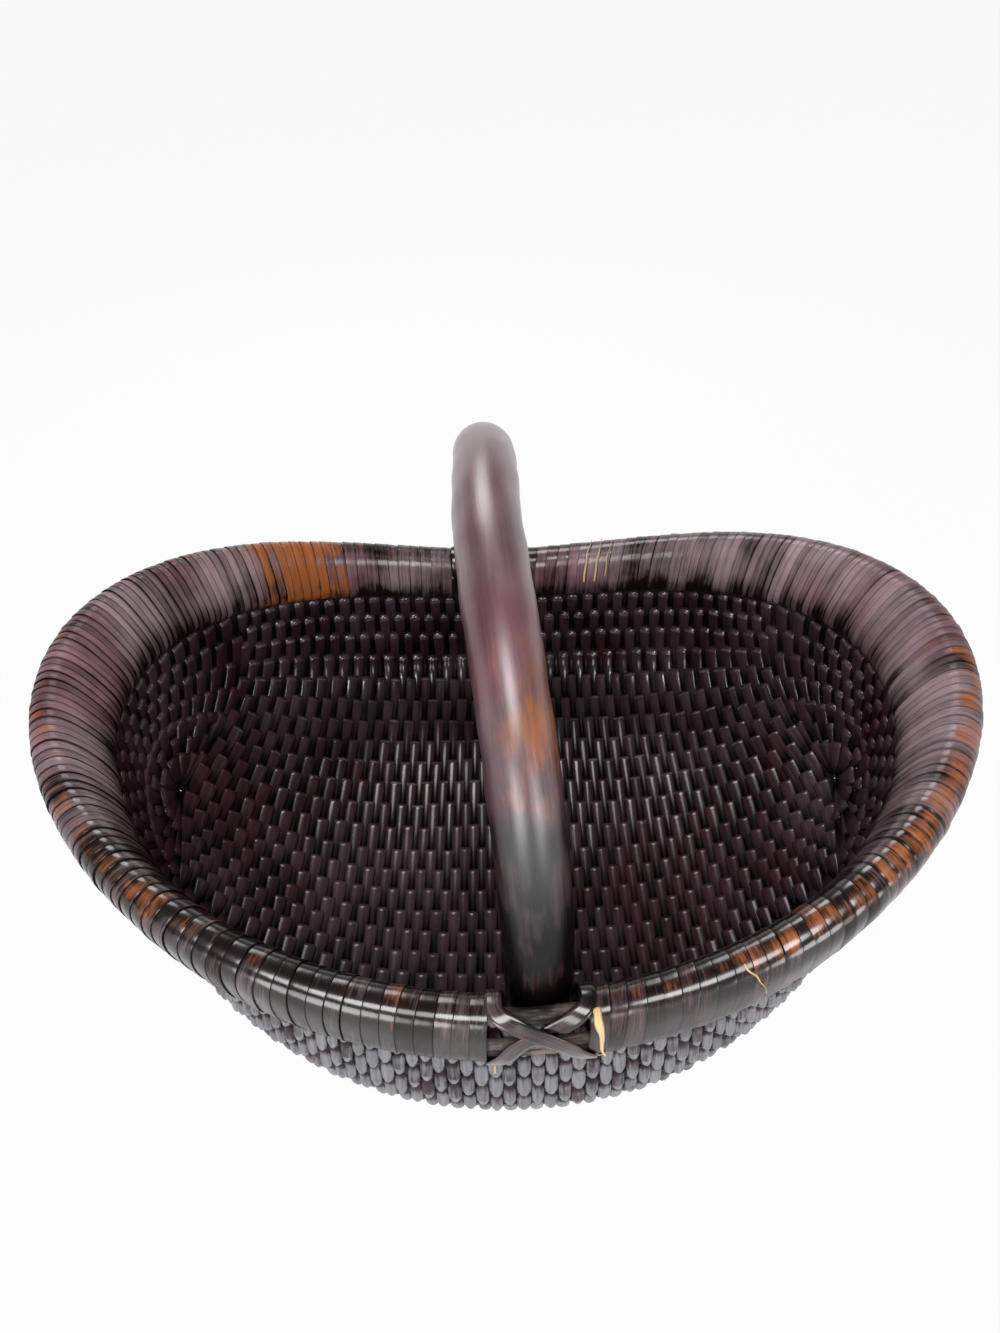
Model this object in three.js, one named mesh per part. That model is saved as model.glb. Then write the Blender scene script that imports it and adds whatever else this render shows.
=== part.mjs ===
// Willow gathering basket: a woven boat-shaped body with raised ends, a rim of hoop rods wound with
// flat split strips, and a fixed bent handle lashed to the rim at the front and at the back.
// Millimetres. +Z is up, the floor is z = 0, the basket is long in X and its front faces -Y.
import * as THREE from "three";

// Rim centre line
const rimHalfLength = 250; // from the handle to the middle of either end
const rimHalfDepth = 188; // from the middle of the basket to the rim at the handle
const rimHeight = 115; // above the floor, at the handle
const endRise = 70; // how much higher the rim stands at the ends
const riseCurve = 1.7; // the rim stays low near the handle and sweeps up towards the ends
const endFullness = 0.085; // the ends are fuller than a plain oval by this share

// Rim section, an upright oval at the handle that turns into a tall leaning band at the ends
const rimHalfTall = 21.3;
const endHalfTall = 27.5;
const endLean = THREE.MathUtils.degToRad(27); // outwards from upright
const sectionSquareness = 2.5; // 2 is a plain ellipse

// Woven wall
const wallThickness = 7.6;
const spineHalf = 0.888 * rimHalfLength; // the rods of the end fans meet at this distance from the handle
const spineRise = 78; // height of the floor where the fans meet
const spineCurve = 3; // the floor is flat in the middle and climbs towards the ends
const fanStart = 224; // along the rim, from the middle of the front or back to the first rod of a fan
const floorSettle = 3; // the floor is pressed flat where it lies lower than this
const belly = 15; // pull of the front and back walls outwards, under the rim
const footReach = 1.05; // pull of the floor towards the front and back walls
const weaveRows = 12; // rows of twine on every rod, from the spine to the rim
const weaveLean = 1.8; // how far the rods lean into the basket and out of it between two twines
const weaveDrop = 0.13; // share of a lean in which the rods drop back over a twine
const bundlesPerPanel = 8; // rods side by side, each bundle half a lean before the next
const bundlesPerFan = 14;
const fanOpening = 0.6; // the rods of a fan have room to lean from this share of the way to the rim

// Hoop rods inside the rim
const topRodRadius = 4.3;
const sideRodRadius = 2.9;
const lowRodRadius = 2.6;

// Binding of flat split strips
const stripThickness = 1.3;
const stripLap = 0.9; // height of one turn over the next
const stripsPerSide = 10;
const turnsPerStrip = 8;

// Handle
const handleRadius = 17.6;
const handleTop = 303; // centre line of the pole at its highest point
const handleSquareness = 2.19; // 2 is a plain half ellipse
const frontFootShift = 16; // the bent pole is not quite straight: its feet and top lie off the middle
const backFootShift = -14;
const topShift = -6;
const swayCurve = 1.5; // how the shift fades from a foot to the top
const footTongue = 32; // length of the tapered foot below the rim
const tongueHalfWidth = 9.5;
const tongueDepth = 13;

// Lashings
const lashWidth = 9;
const lashThickness = 1.5;
const bindingGap = 24.5; // from the middle of a foot to the binding on either side
const lashSpread = 23; // from the middle of a foot to a strip of its lashing, on the crown

// Clearances
const snug = 0.4; // between pieces that press on each other
const seam = 0.5; // between one strip and the next, and between the fans and the middle field
const padRoom = 1.6; // between a foot and the filling of the rim
const bendRoom = 0.5; // for the bend of the rim between one row of facets and the next

const halfWall = wallThickness / 2;
// Half the rim is half the wall, a hoop rod and the binding.
const rimHalfWidth = halfWall + 2 * sideRodRadius + stripThickness + 2 * snug + 2 * bendRoom;
const up = new THREE.Vector3(0, 0, 1);
const mix = THREE.MathUtils.lerp;
const signedPower = (value, power) => Math.sign(value) * Math.abs(value) ** power;
const steps = (count) => Array.from({ length: count + 1 }, (_, i) => i / count);

// The rim centre line. One turn runs from the middle of the front, by the right end, back to the front.
function rimCentre(turn) {
  const angle = (turn - 0.25) * 2 * Math.PI;
  const x = rimHalfLength * Math.cos(angle);
  const nearEnd = Math.cos(angle) ** 2;
  const fuller = 1 + endFullness * (1 - (1 - nearEnd) ** 2);
  const y = rimHalfDepth * Math.sin(angle) * fuller;
  const z = rimHeight + endRise * Math.abs(Math.cos(angle)) ** riseCurve;
  return new THREE.Vector3(x, y, z);
}

const rimSamples = 2000;
const rimLengths = [0];
steps(rimSamples).slice(1).forEach((turn, i) => {
  const step = rimCentre(turn).distanceTo(rimCentre(i / rimSamples));
  rimLengths.push(rimLengths[i] + step);
});
const rimRound = rimLengths[rimSamples];
const backMiddle = rimRound / 2;

// The turn at a length along the rim.
function turnAt(length) {
  const wrapped = THREE.MathUtils.euclideanModulo(length, rimRound);
  let low = 0;
  let high = rimSamples;
  while (high - low > 1) {
    const middle = (low + high) >> 1;
    if (rimLengths[middle] > wrapped) high = middle;
    else low = middle;
  }
  const share = (wrapped - rimLengths[low]) / (rimLengths[high] - rimLengths[low]);
  return (low + share) / rimSamples;
}

// The rim section at a length along the rim: its centre, its two axes and its half sizes.
function rimSection(length) {
  const turn = turnAt(length);
  const centre = rimCentre(turn);
  const along = rimCentre(turn + 1e-4).sub(rimCentre(turn - 1e-4)).setZ(0).normalize();
  const outward = new THREE.Vector3(along.y, -along.x, 0);
  const nearEnd = (centre.x / rimHalfLength) ** 2;
  const lean = endLean * nearEnd;
  const across = outward.clone().multiplyScalar(Math.cos(lean)).addScaledVector(up, -Math.sin(lean));
  const tall = outward.clone().multiplyScalar(Math.sin(lean)).addScaledVector(up, Math.cos(lean));
  const halfTall = mix(rimHalfTall, endHalfTall, nearEnd);
  return { centre, outward, across, tall, halfTall, nearEnd };
}

const inRim = (section, out, high) =>
  section.centre.clone().addScaledVector(section.across, out).addScaledVector(section.tall, high);

// The rim's oval, grown by an offset. The angle is 0 on the outside and a quarter turn on the crown.
function ovalOffset(section, angle, grow) {
  const power = 2 / sectionSquareness;
  const out = (rimHalfWidth + grow) * signedPower(Math.cos(angle), power);
  const high = (section.halfTall + grow) * signedPower(Math.sin(angle), power);
  return new THREE.Vector2(out, high);
}

function ovalPoint(section, angle, grow) {
  const offset = ovalOffset(section, angle, grow);
  return inRim(section, offset.x, offset.y);
}

const coreGrow = -stripThickness - snug; // what lies inside the binding
const coreTop = (section) => section.halfTall + coreGrow;
const topRodHigh = (section) => 0.9 * coreTop(section) - 0.75 * topRodRadius - snug;
const wallTop = (section) => topRodHigh(section) - topRodRadius - snug;

// Closed solids from grids of points

// Triangles between two lines of points that need not have the same number of points.
function zip(first, second, faces) {
  let a = 0;
  let b = 0;
  while (a < first.length - 1 || b < second.length - 1) {
    const stepFirst = b === second.length - 1
      || (a < first.length - 1 && (a + 1) / (first.length - 1) <= (b + 1) / (second.length - 1));
    if (stepFirst) faces.push(first[a], first[a + 1], second[b]);
    else faces.push(first[a], second[b + 1], second[b]);
    if (stepFirst) a += 1;
    else b += 1;
  }
}

// Numbers the points of a solid, collects its faces and turns them outwards.
class SolidBuilder {
  points = [];
  faces = [];

  line(points) {
    return points.map((point) => this.points.push(point.x, point.y, point.z) / 3 - 1);
  }

  // The face between lines of points. A back face has the same triangles, turned round.
  skin(lines, back = false) {
    const made = [];
    lines.slice(1).forEach((line, i) => zip(lines[i], line, made));
    this.faces.push(...(back ? made.reverse() : made));
  }

  geometry() {
    let volume = 0;
    const corner = (i) => new THREE.Vector3().fromArray(this.points, 3 * this.faces[i]);
    for (let i = 0; i < this.faces.length; i += 3) {
      volume += corner(i).dot(corner(i + 1).cross(corner(i + 2)));
    }
    if (volume < 0) this.faces.reverse();
    const made = new THREE.BufferGeometry();
    made.setAttribute("position", new THREE.Float32BufferAttribute(this.points, 3));
    made.setIndex(this.faces);
    made.computeVertexNormals();
    return made;
  }
}

// A bar carried along a row of rings, with a fan of faces on each end, or joined end to end.
function loft(rings, joined = false) {
  const builder = new SolidBuilder();
  const lines = rings.map((ring) => builder.line(ring)).map((line) => [...line, line[0]]);
  builder.skin(joined ? [...lines, lines[0]] : lines);
  if (!joined) {
    const [first, last] = [lines[0], lines.at(-1)];
    const sides = first.length - 1;
    for (let i = 1; i < sides - 1; i += 1) {
      builder.faces.push(first[0], first[i + 1], first[i]);
      builder.faces.push(last[0], last[i], last[i + 1]);
    }
  }
  return builder.geometry();
}

// A shell between two grids of points, closed along its four edges. The grids may differ in rows.
function shell(outerRows, innerRows) {
  const builder = new SolidBuilder();
  const outer = outerRows.map((row) => builder.line(row));
  const inner = innerRows.map((row) => builder.line(row));
  const first = (lines) => lines.map((line) => line[0]);
  const last = (lines) => lines.map((line) => line.at(-1));
  builder.skin(outer);
  builder.skin(inner, true);
  zip(inner[0], outer[0], builder.faces);
  zip(outer.at(-1), inner.at(-1), builder.faces);
  zip(first(outer), first(inner), builder.faces);
  zip(last(inner), last(outer), builder.faces);
  return builder.geometry();
}

const ringOf = (sides, place) => steps(sides).slice(0, sides).map((share) => place(share * 2 * Math.PI));

// The pieces

const basket = new THREE.Group();
basket.name = "willow_basket";

const weaveFinish = new THREE.MeshStandardMaterial({ color: 0x2b2220, roughness: 0.5, metalness: 0 });
const stripFinish = new THREE.MeshStandardMaterial({ color: 0x3a2623, roughness: 0.42, metalness: 0 });
const poleFinish = new THREE.MeshStandardMaterial({ color: 0x46302c, roughness: 0.36, metalness: 0 });
const rodFinish = new THREE.MeshStandardMaterial({ color: 0x37312f, roughness: 0.6, metalness: 0 });

function add(name, geometry, finish) {
  const mesh = new THREE.Mesh(geometry, finish);
  mesh.name = name;
  basket.add(mesh);
}

// Woven body. Every rod starts on the spine of the floor, or at its end for a fan, and climbs to the rim.

const spineHeight = (x) => halfWall - floorSettle + spineRise * Math.abs(x / spineHalf) ** spineCurve;
const spineSlope = (x) =>
  (spineRise * spineCurve * Math.sign(x) * Math.abs(x / spineHalf) ** (spineCurve - 1)) / spineHalf;

// Where on the spine the rod starts whose top is at a length along the rim.
function spineAt(length) {
  const fromFront = THREE.MathUtils.euclideanModulo(length + backMiddle, rimRound) - backMiddle;
  const fromBack = Math.abs(fromFront) > backMiddle / 2;
  const sideways = fromBack ? Math.sign(fromFront) * (backMiddle - Math.abs(fromFront)) : fromFront;
  return spineHalf * THREE.MathUtils.clamp(sideways / fanStart, -1, 1);
}

// The middle of the woven wall: climb 0 is the spine, 1 the lower edge of the rim and 2 the wall's top.
// Below the rim the climb is a share of the rod's length.
function wallMiddle(length, climb) {
  const section = rimSection(length);
  const x = spineAt(length);
  const spine = new THREE.Vector3(x, 0, spineHeight(x));
  const lip = inRim(section, 0, -section.halfTall - 1);
  if (climb > 1) return lip.lerp(inRim(section, 0, wallTop(section)), climb - 1);
  const reach = mix(footReach, 0.6, section.nearEnd);
  const drop = mix(1, 0.5, section.nearEnd) * (lip.z - spine.z);
  const pull = mix(belly, -4, section.nearEnd);
  const foot = spine.clone().lerp(lip, reach);
  foot.z = spine.z + spineSlope(x) * (foot.x - spine.x);
  const side = lip.clone().addScaledVector(section.outward, pull).addScaledVector(up, -drop);
  const rod = new THREE.CubicBezierCurve3(spine, foot, side, lip);
  rod.arcLengthDivisions = 40;
  const point = rod.getPointAt(Math.max(climb, 0));
  return point.setZ(Math.max(point.z, halfWall));
}

// The upward and inward direction across the wall.
function wallNormal(length, climb) {
  const x = spineAt(length);
  if (climb === 0) {
    const slope = spineHeight(x) > halfWall ? spineSlope(x) : 0;
    return new THREE.Vector3(-slope, 0, 1).normalize();
  }
  const side = wallMiddle(length + 0.5, climb).sub(wallMiddle(length - 0.5, climb));
  const rise = wallMiddle(length, Math.min(climb + 0.01, 2)).sub(wallMiddle(length, climb - 0.01));
  return rise.cross(side).normalize();
}

const wallFace = (length, climb, offset) =>
  wallMiddle(length, climb).addScaledVector(wallNormal(length, climb), offset);

// Knots of a bundle of rods: its climb and its lean there, 1 into the basket and -1 out of it. The rods
// lean in slowly and drop back at each second row. Neighbouring bundles drop at the rows between, and
// inside the rim the wall is full.
const [evenBundle, oddBundle] = [0, 0.5].map((early) => {
  const leans = weaveRows / 2;
  const start = { climb: 0, lean: (2 * early) / (1 - weaveDrop) - 1 };
  const drops = steps(leans - 1).map((_, i) => (i + 1 - early) / leans);
  const pairs = drops.flatMap((climb) => [
    { climb: climb - weaveDrop / leans, lean: 1 },
    { climb, lean: -1 },
  ]);
  const bound = [1, 1.5, 2].map((climb) => ({ climb, full: true }));
  return [start, ...pairs.filter(({ climb }) => climb < 1), ...bound];
});
const bundleOf = (number) => (number % 2 ? oddBundle : evenBundle);

// A point of a bundle's inner face, side 1, or outer face, side -1. The floor is pressed flat underneath.
function bundleFace(length, { climb, lean, full }, side, room = 1) {
  const pressed = side < 0 && wallMiddle(length, climb).z <= halfWall;
  const swing = full || pressed ? 0 : room * weaveLean;
  return wallFace(length, climb, side * (halfWall - swing) + (swing ? swing * lean : 0));
}

// One line of the middle field, from the front rim under the floor to the back rim.
function middleLine(frontLength, bundle, side) {
  const front = [...bundle].reverse().map((knot) => bundleFace(frontLength, knot, side));
  const back = bundle.slice(1).map((knot) => bundleFace(backMiddle - frontLength, knot, side));
  return [...front, ...back];
}

// The field is woven in panels side by side, each of rods that run from rim to rim.
const middlePanels = ["far_left", "left", "right", "far_right"];
const panelWidth = (2 * fanStart) / middlePanels.length;
middlePanels.forEach((name, i) => {
  const start = i * panelWidth - fanStart + seam / 2;
  const lengths = steps(bundlesPerPanel).map((share) => start + share * (panelWidth - seam));
  const face = (side) => lengths.map((length, j) => middleLine(length, bundleOf(j), side));
  add(`woven_middle_${name}`, shell(face(-1), face(1)), weaveFinish);
});

// A fan closes one end. Its rods spread from one point at the end of the spine.
function fanGeometry(startLength) {
  const end = Math.sign(wallMiddle(startLength + backMiddle / 2 - fanStart, 0).x);
  const width = backMiddle - 2 * fanStart - seam;
  const lengths = steps(bundlesPerFan).map((share) => startLength + seam / 2 + share * width);
  const apexShift = new THREE.Vector3(end * seam, 0, seam * Math.abs(spineSlope(spineHalf)));
  const builder = new SolidBuilder();
  const knotFace = (length, knot, side) =>
    bundleFace(length, knot, side, THREE.MathUtils.smoothstep(knot.climb, 0, fanOpening));
  const [outer, inner] = [-1, 1].map((side) => {
    const apex = builder.line([wallFace(startLength + width / 2, 0, side * halfWall).add(apexShift)])[0];
    return lengths.map((length, j) => [
      apex,
      ...builder.line(bundleOf(j).slice(1).map((knot) => knotFace(length, knot, side))),
    ]);
  });
  const tips = (lines) => lines.slice(1).flatMap((line, i) => [lines[i][0], lines[i][1], line[1]]);
  builder.skin(outer.map((line) => line.slice(1)));
  builder.skin(inner.map((line) => line.slice(1)), true);
  builder.faces.push(...tips(outer), ...tips(inner).reverse());
  zip(inner[0], outer[0], builder.faces);
  zip(outer.at(-1), inner.at(-1), builder.faces);
  zip(inner.map((line) => line.at(-1)), outer.map((line) => line.at(-1)), builder.faces);
  return builder.geometry();
}

add("woven_right_end", fanGeometry(fanStart), weaveFinish);
add("woven_left_end", fanGeometry(backMiddle + fanStart), weaveFinish);

// Hoop rods, closed rings that follow the rim: one on the crown over the wall, two outside the wall.

const rodOut = (radius) => halfWall + snug + radius;
const hoopCount = 76;
const hoopSteps = steps(hoopCount).slice(0, -1).map((share) => share * rimRound);

function hoop(radius, outAt, highAt) {
  const sides = 6;
  return loft(
    hoopSteps.map((length) => {
      const section = rimSection(length);
      const [out, high] = [outAt(section), highAt(section)];
      return ringOf(sides, (angle) =>
        inRim(section, out + radius * Math.cos(angle), high + radius * Math.sin(angle)));
    }),
    true,
  );
}

add("hoop_rod_top", hoop(topRodRadius, () => topRodRadius - halfWall + snug, topRodHigh), rodFinish);
add(
  "hoop_rod_middle",
  hoop(sideRodRadius, () => rodOut(sideRodRadius), (section) => -0.12 * section.halfTall),
  rodFinish,
);
add(
  "hoop_rod_low",
  hoop(lowRodRadius, () => rodOut(lowRodRadius), (section) => -0.52 * section.halfTall),
  rodFinish,
);

// Feet of the handle, as lengths along the rim

const feet = [
  { name: "front", length: frontFootShift, facing: -1, shift: frontFootShift },
  { name: "back", length: backMiddle - backFootShift, facing: 1, shift: backFootShift },
];
const [frontFoot, backFoot] = feet;
const sides = [
  { name: "right", from: frontFoot.length, to: backFoot.length },
  { name: "left", from: backFoot.length, to: rimRound + frontFoot.length },
];

// Filling on the inner side of the rim, slim beside the handle and full round the ends.

const slotAngle = (grow) =>
  Math.acos(((halfWall + snug) / (rimHalfWidth + grow)) ** (sectionSquareness / 2));
const ovalShares = steps(8);
const ovalAngles = (grow) => {
  const lip = slotAngle(grow);
  return ovalShares.map((share) => mix(-lip, Math.PI + lip, share));
};

// A ring of the filling: the inner half of the oval, cut off along the wall.
function padRing(length, swell) {
  const section = rimSection(length);
  const flat = -halfWall - snug - bendRoom;
  const half = ovalAngles(coreGrow).slice(4).map((angle) => ovalOffset(section, angle, coreGrow));
  const cut = (from, to) => from.clone().lerp(to, (flat - from.x) / (to.x - from.x));
  const ring = [cut(half[0], half[1]), ...half.slice(1, -1), cut(half.at(-1), half.at(-2))];
  return ring.map(({ x, y }) => inRim(section, flat + (x - flat) * swell, y * swell));
}

for (const { name, from, to } of sides) {
  const start = from + handleRadius + padRoom;
  const width = to - handleRadius - padRoom - start;
  const rings = steps(40).map((share) => {
    const nearFoot = Math.min(share, 1 - share) * width;
    const swell = THREE.MathUtils.smoothstep(nearFoot, -30, 60);
    return padRing(start + share * width, mix(0.55, 1, swell));
  });
  add(`rim_pad_${name}`, loft(rings), rodFinish);
}

// Binding. Each strip is wound round the rim turn by turn and straddles the wall, with one edge of
// every turn lying over the next.

function stripGeometry(start, width) {
  const pitch = width / turnsPerStrip;
  const place = (along, grow) => {
    const angles = ovalAngles(Math.min(grow, 0));
    return angles.map((angle, i) =>
      ovalPoint(rimSection(start + along + pitch * (ovalShares[i] - 0.5)), angle, grow));
  };
  const outer = [];
  for (let turn = 0; turn < turnsPerStrip; turn += 1) {
    outer.push(place(turn * pitch, 0), place((turn + 0.86) * pitch, stripLap));
  }
  outer.push(place(width, 0));
  const inner = steps(4).map((share) => place(share * width, -stripThickness));
  return shell(outer, inner);
}

for (const { name, from, to } of sides) {
  const start = from + bindingGap;
  const width = (to - bindingGap - start + seam) / stripsPerSide;
  for (let i = 0; i < stripsPerSide; i += 1) {
    const number = String(i + 1).padStart(2, "0");
    add(`binding_${name}_${number}`, stripGeometry(start + i * width, width - seam), stripFinish);
  }
}

// Handle: a bent pole whose feet stand inside the wall and taper to a tongue below the rim.

function footCentre(foot) {
  const section = rimSection(foot.length);
  return Math.abs(section.centre.y) - halfWall - snug - handleRadius;
}

function poleCentre(angle) {
  const power = 2 / handleSquareness;
  const lengthwise = -signedPower(Math.cos(angle), power);
  const foot = lengthwise < 0 ? frontFoot : backFoot;
  const x = topShift + (foot.shift - topShift) * Math.abs(lengthwise) ** swayCurve;
  const z = rimHeight + (handleTop - rimHeight) * signedPower(Math.sin(angle), power);
  return new THREE.Vector3(x, footCentre(foot) * lengthwise, z);
}

const poleSides = 16;

function poleRing(angle) {
  const centre = poleCentre(angle);
  const along = poleCentre(angle + 1e-3).sub(poleCentre(angle - 1e-3)).normalize();
  const side = new THREE.Vector3(1, 0, 0).addScaledVector(along, -along.x).normalize();
  const out = side.clone().cross(along);
  return ringOf(poleSides, (turn) =>
    centre.clone()
      .addScaledVector(side, handleRadius * Math.cos(turn))
      .addScaledVector(out, handleRadius * Math.sin(turn)));
}

// A ring of the foot. Share 0 is the full pole at the rim, 1 the end of the tongue.
function footRing(foot, share) {
  const z = rimHeight - share * (rimHalfTall + footTongue);
  const ease = THREE.MathUtils.smoothstep(share, 0.1, 1);
  const halfWidth = mix(handleRadius, tongueHalfWidth, ease);
  const halfDepth = mix(handleRadius, tongueDepth / 2, ease);
  const outerFace = footCentre(foot) + handleRadius;
  return ringOf(poleSides, (turn) =>
    new THREE.Vector3(
      foot.shift + halfWidth * Math.cos(turn),
      foot.facing * (outerFace - halfDepth) + halfDepth * Math.sin(turn),
      z,
    ));
}

const footShares = [1, 0.8, 0.6, 0.4, 0.2, 0];
const poleAngles = steps(36).slice(1, -1).map((share) => share * Math.PI);
const frontRings = footShares.map((share) => footRing(frontFoot, share));
const backRings = [...footShares].reverse().map((share) =>
  footRing(backFoot, share).map((_, i, ring) => ring[(poleSides - i) % poleSides]));
add("handle_pole", loft([...frontRings, ...poleAngles.map(poleRing), ...backRings]), poleFinish);

// Lashings: at each foot two flat strips come over the crown and cross on the outside of the rim.

function lashGeometry(foot, direction, over) {
  const base = stripLap + snug;
  const place = (share) => {
    const angle = mix(THREE.MathUtils.degToRad(140), THREE.MathUtils.degToRad(-62), share);
    const across = 1 - 2 * THREE.MathUtils.smoothstep(share, 0.22, 0.87);
    const lift = over ? (lashThickness + 2 * snug) * Math.exp(-((across * 1.5) ** 4)) : 0;
    return { angle, along: direction * lashSpread * across, grow: base + lift };
  };
  const at = ({ angle, along, grow }, extra) =>
    ovalPoint(rimSection(foot.length + along), angle, grow + extra);
  const rings = steps(26).map((share) => {
    const here = place(share);
    const point = at(here, 0);
    const travel = at(place(share + 0.005), 0).sub(at(place(share - 0.005), 0)).normalize();
    const roundward = at({ ...here, angle: here.angle + 0.01 }, 0).sub(point);
    const alongRim = at({ ...here, along: here.along + 0.1 }, 0).sub(point);
    const normal = alongRim.cross(roundward).normalize();
    const side = travel.clone().cross(normal).normalize().multiplyScalar(lashWidth / 2);
    const raised = point.clone().addScaledVector(normal, lashThickness);
    return [
      point.clone().add(side),
      point.clone().sub(side),
      raised.clone().sub(side),
      raised.clone().add(side),
    ];
  });
  return loft(rings);
}

for (const foot of feet) {
  add(`lashing_${foot.name}_under`, lashGeometry(foot, 1, false), stripFinish);
  add(`lashing_${foot.name}_over`, lashGeometry(foot, -1, true), stripFinish);
}

export default basket;
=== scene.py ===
"""Willow gathering basket: woven rods and twine, a strip-bound rim, a bent pole handle and its lashings.

Metres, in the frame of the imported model: +X runs to the right end, +Y to the back and +Z up from the floor,
which is z = 0.
"""

import logging
import math
from collections.abc import Sequence
from dataclasses import astuple, dataclass, field
from enum import Enum

import bpy
import numpy as np
from mathutils import Matrix


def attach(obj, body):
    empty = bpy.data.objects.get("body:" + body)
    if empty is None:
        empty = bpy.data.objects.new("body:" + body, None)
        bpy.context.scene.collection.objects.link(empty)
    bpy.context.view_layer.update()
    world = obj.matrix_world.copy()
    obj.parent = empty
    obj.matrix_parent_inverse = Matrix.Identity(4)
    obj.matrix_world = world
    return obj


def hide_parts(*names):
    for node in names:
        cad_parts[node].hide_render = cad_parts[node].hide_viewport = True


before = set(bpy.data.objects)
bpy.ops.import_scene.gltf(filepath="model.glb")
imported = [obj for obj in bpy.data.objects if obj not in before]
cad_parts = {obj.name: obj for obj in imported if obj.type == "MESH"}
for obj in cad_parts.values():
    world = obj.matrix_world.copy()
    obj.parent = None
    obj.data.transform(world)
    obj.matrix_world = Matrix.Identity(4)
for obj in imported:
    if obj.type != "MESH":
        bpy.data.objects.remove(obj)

Array = np.ndarray
Amount = Array | float
Colour = tuple[float, float, float]
Values = dict[str, Amount]
Random = np.random.Generator
Material = bpy.types.Material
Node = bpy.types.Node
Socket = bpy.types.NodeSocket
Tree = bpy.types.NodeTree

LOG = logging.getLogger("willow_basket")
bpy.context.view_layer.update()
MM = 0.001
UP = np.array([0.0, 0.0, 1.0])
WHITE = (1.0, 1.0, 1.0, 1.0)
# Least length that a vector is divided by
TINY = 1e-12
# Turns of the rim between two points that give its direction
TURN_STEP = 1e-4
# Metres that keep the lines apart when they are looked up together, more than any line is long
SHELF = 100.0
# Metres of grain from one line to the next, so that no two look alike
GRAIN_SHIFT = 0.731


class Slot(Enum):
    """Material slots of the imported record."""

    WEAVE = "weave"
    STRIP = "split_strip"
    ROD = "bare_rod"
    POLE = "handle_wood"


# Small helpers on whole arrays


def unit(vectors: Array) -> Array:
    """Vectors divided by their lengths."""
    return vectors / np.maximum(np.linalg.norm(vectors, axis=-1, keepdims=True), TINY)


def mix(first: Amount, second: Amount, share: Amount) -> Amount:
    """The point that lies a share of the way from first to second."""
    return first + (second - first) * share


def smooth(value: Array, low: float, high: float) -> Array:
    """The cubic step 3t^2 - 2t^3 from low to high."""
    t = np.clip((value - low) / (high - low), 0.0, 1.0)
    return t * t * (3.0 - 2.0 * t)


def signed_power(value: Array, power: Amount) -> Array:
    """A power of the size of a value, with the value's own sign."""
    return np.sign(value) * np.abs(value) ** power


def bump(value: Array, centre: float, width: float) -> Array:
    """A bell exp(-((value - centre) / width)^2)."""
    return np.exp(-(((value - centre) / width) ** 2))


def ring_angles(count: int) -> Array:
    """Angles of the points of a ring, evenly spaced from 0."""
    return np.arange(count) * math.tau / count


def linear(red: int, green: int, blue: int) -> Colour:
    """A colour written as it shows on screen, turned into linear light.

    Args:
        red: its red part, 0 to 255.
        green: its green part.
        blue: its blue part.

    Returns:
        The three parts, 0 to 1.
    """
    shown = np.array([red, green, blue]) / 255.0
    light = np.where(shown <= 0.04045, shown / 12.92, ((shown + 0.055) / 1.055) ** 2.4)
    return tuple(float(v) for v in light)


def run_lengths(path: Array) -> Array:
    """Length along each line of points, from 0 at its first point."""
    steps = np.linalg.norm(np.diff(path, axis=1), axis=-1)
    return np.concatenate([np.zeros((len(path), 1)), np.cumsum(steps, axis=1)], axis=1)


def walk(path: Array, wanted: Array, values: Array | None = None) -> Array:
    """Points, or values that ride on them, at given running lengths along each line.

    Args:
        path: lines of points, shape (lines, points, 3).
        wanted: wanted lengths, shape (lines, count).
        values: values on the lines, shape (lines, points, 3); the points themselves if left out.

    Returns:
        Values of shape (lines, count, 3).
    """
    shelf = SHELF * np.arange(len(path))[:, None]
    key = (run_lengths(path) + shelf).ravel()
    carried = path if values is None else values
    columns = [np.interp((wanted + shelf).ravel(), key, carried[..., axis].ravel()) for axis in range(3)]
    return np.stack(columns, axis=-1).reshape(*wanted.shape, 3)


@dataclass(frozen=True)
class Wander:
    """Slow random wander along lines: size * a sum of sines, one for each wave length."""

    size: float
    waves: tuple[float, ...]

    def along(self, lengths: Array, rng: Random) -> Array:
        """The wander at given lengths, with random starts of its own on each line.

        Args:
            lengths: length along each line, one line for each row.
            rng: seeded source of the starts.

        Returns:
            Values between about -size and size, in the shape of lengths.
        """
        starts = rng.uniform(0.0, math.tau, (len(self.waves), lengths.shape[0], 1))
        parts = [np.sin(math.tau * lengths / wave + start) for wave, start in zip(self.waves, starts)]
        return self.size * np.stack(parts).sum(axis=0) / math.sqrt(len(self.waves))


# Meshes


def ring_quads(here: Array, ahead: Array) -> Array:
    """Four-cornered faces between rings of points.

    Args:
        here: point numbers of rings, which run along the last axis.
        ahead: point numbers of the ring that follows each, in the same shape.

    Returns:
        Point numbers of the faces, shape (faces, 4).
    """
    corners = [here, np.roll(here, -1, axis=-1), np.roll(ahead, -1, axis=-1), ahead]
    return np.stack(corners, axis=-1).reshape(-1, 4)


def per_point(value: Amount, shape: tuple[int, int, int]) -> Array:
    """One value for each point of the rings, from a number or from one for each line, step or point."""
    given = np.asarray(value, dtype=float)
    return np.broadcast_to(given[..., None] if given.ndim == 2 else given, shape).ravel()


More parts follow.
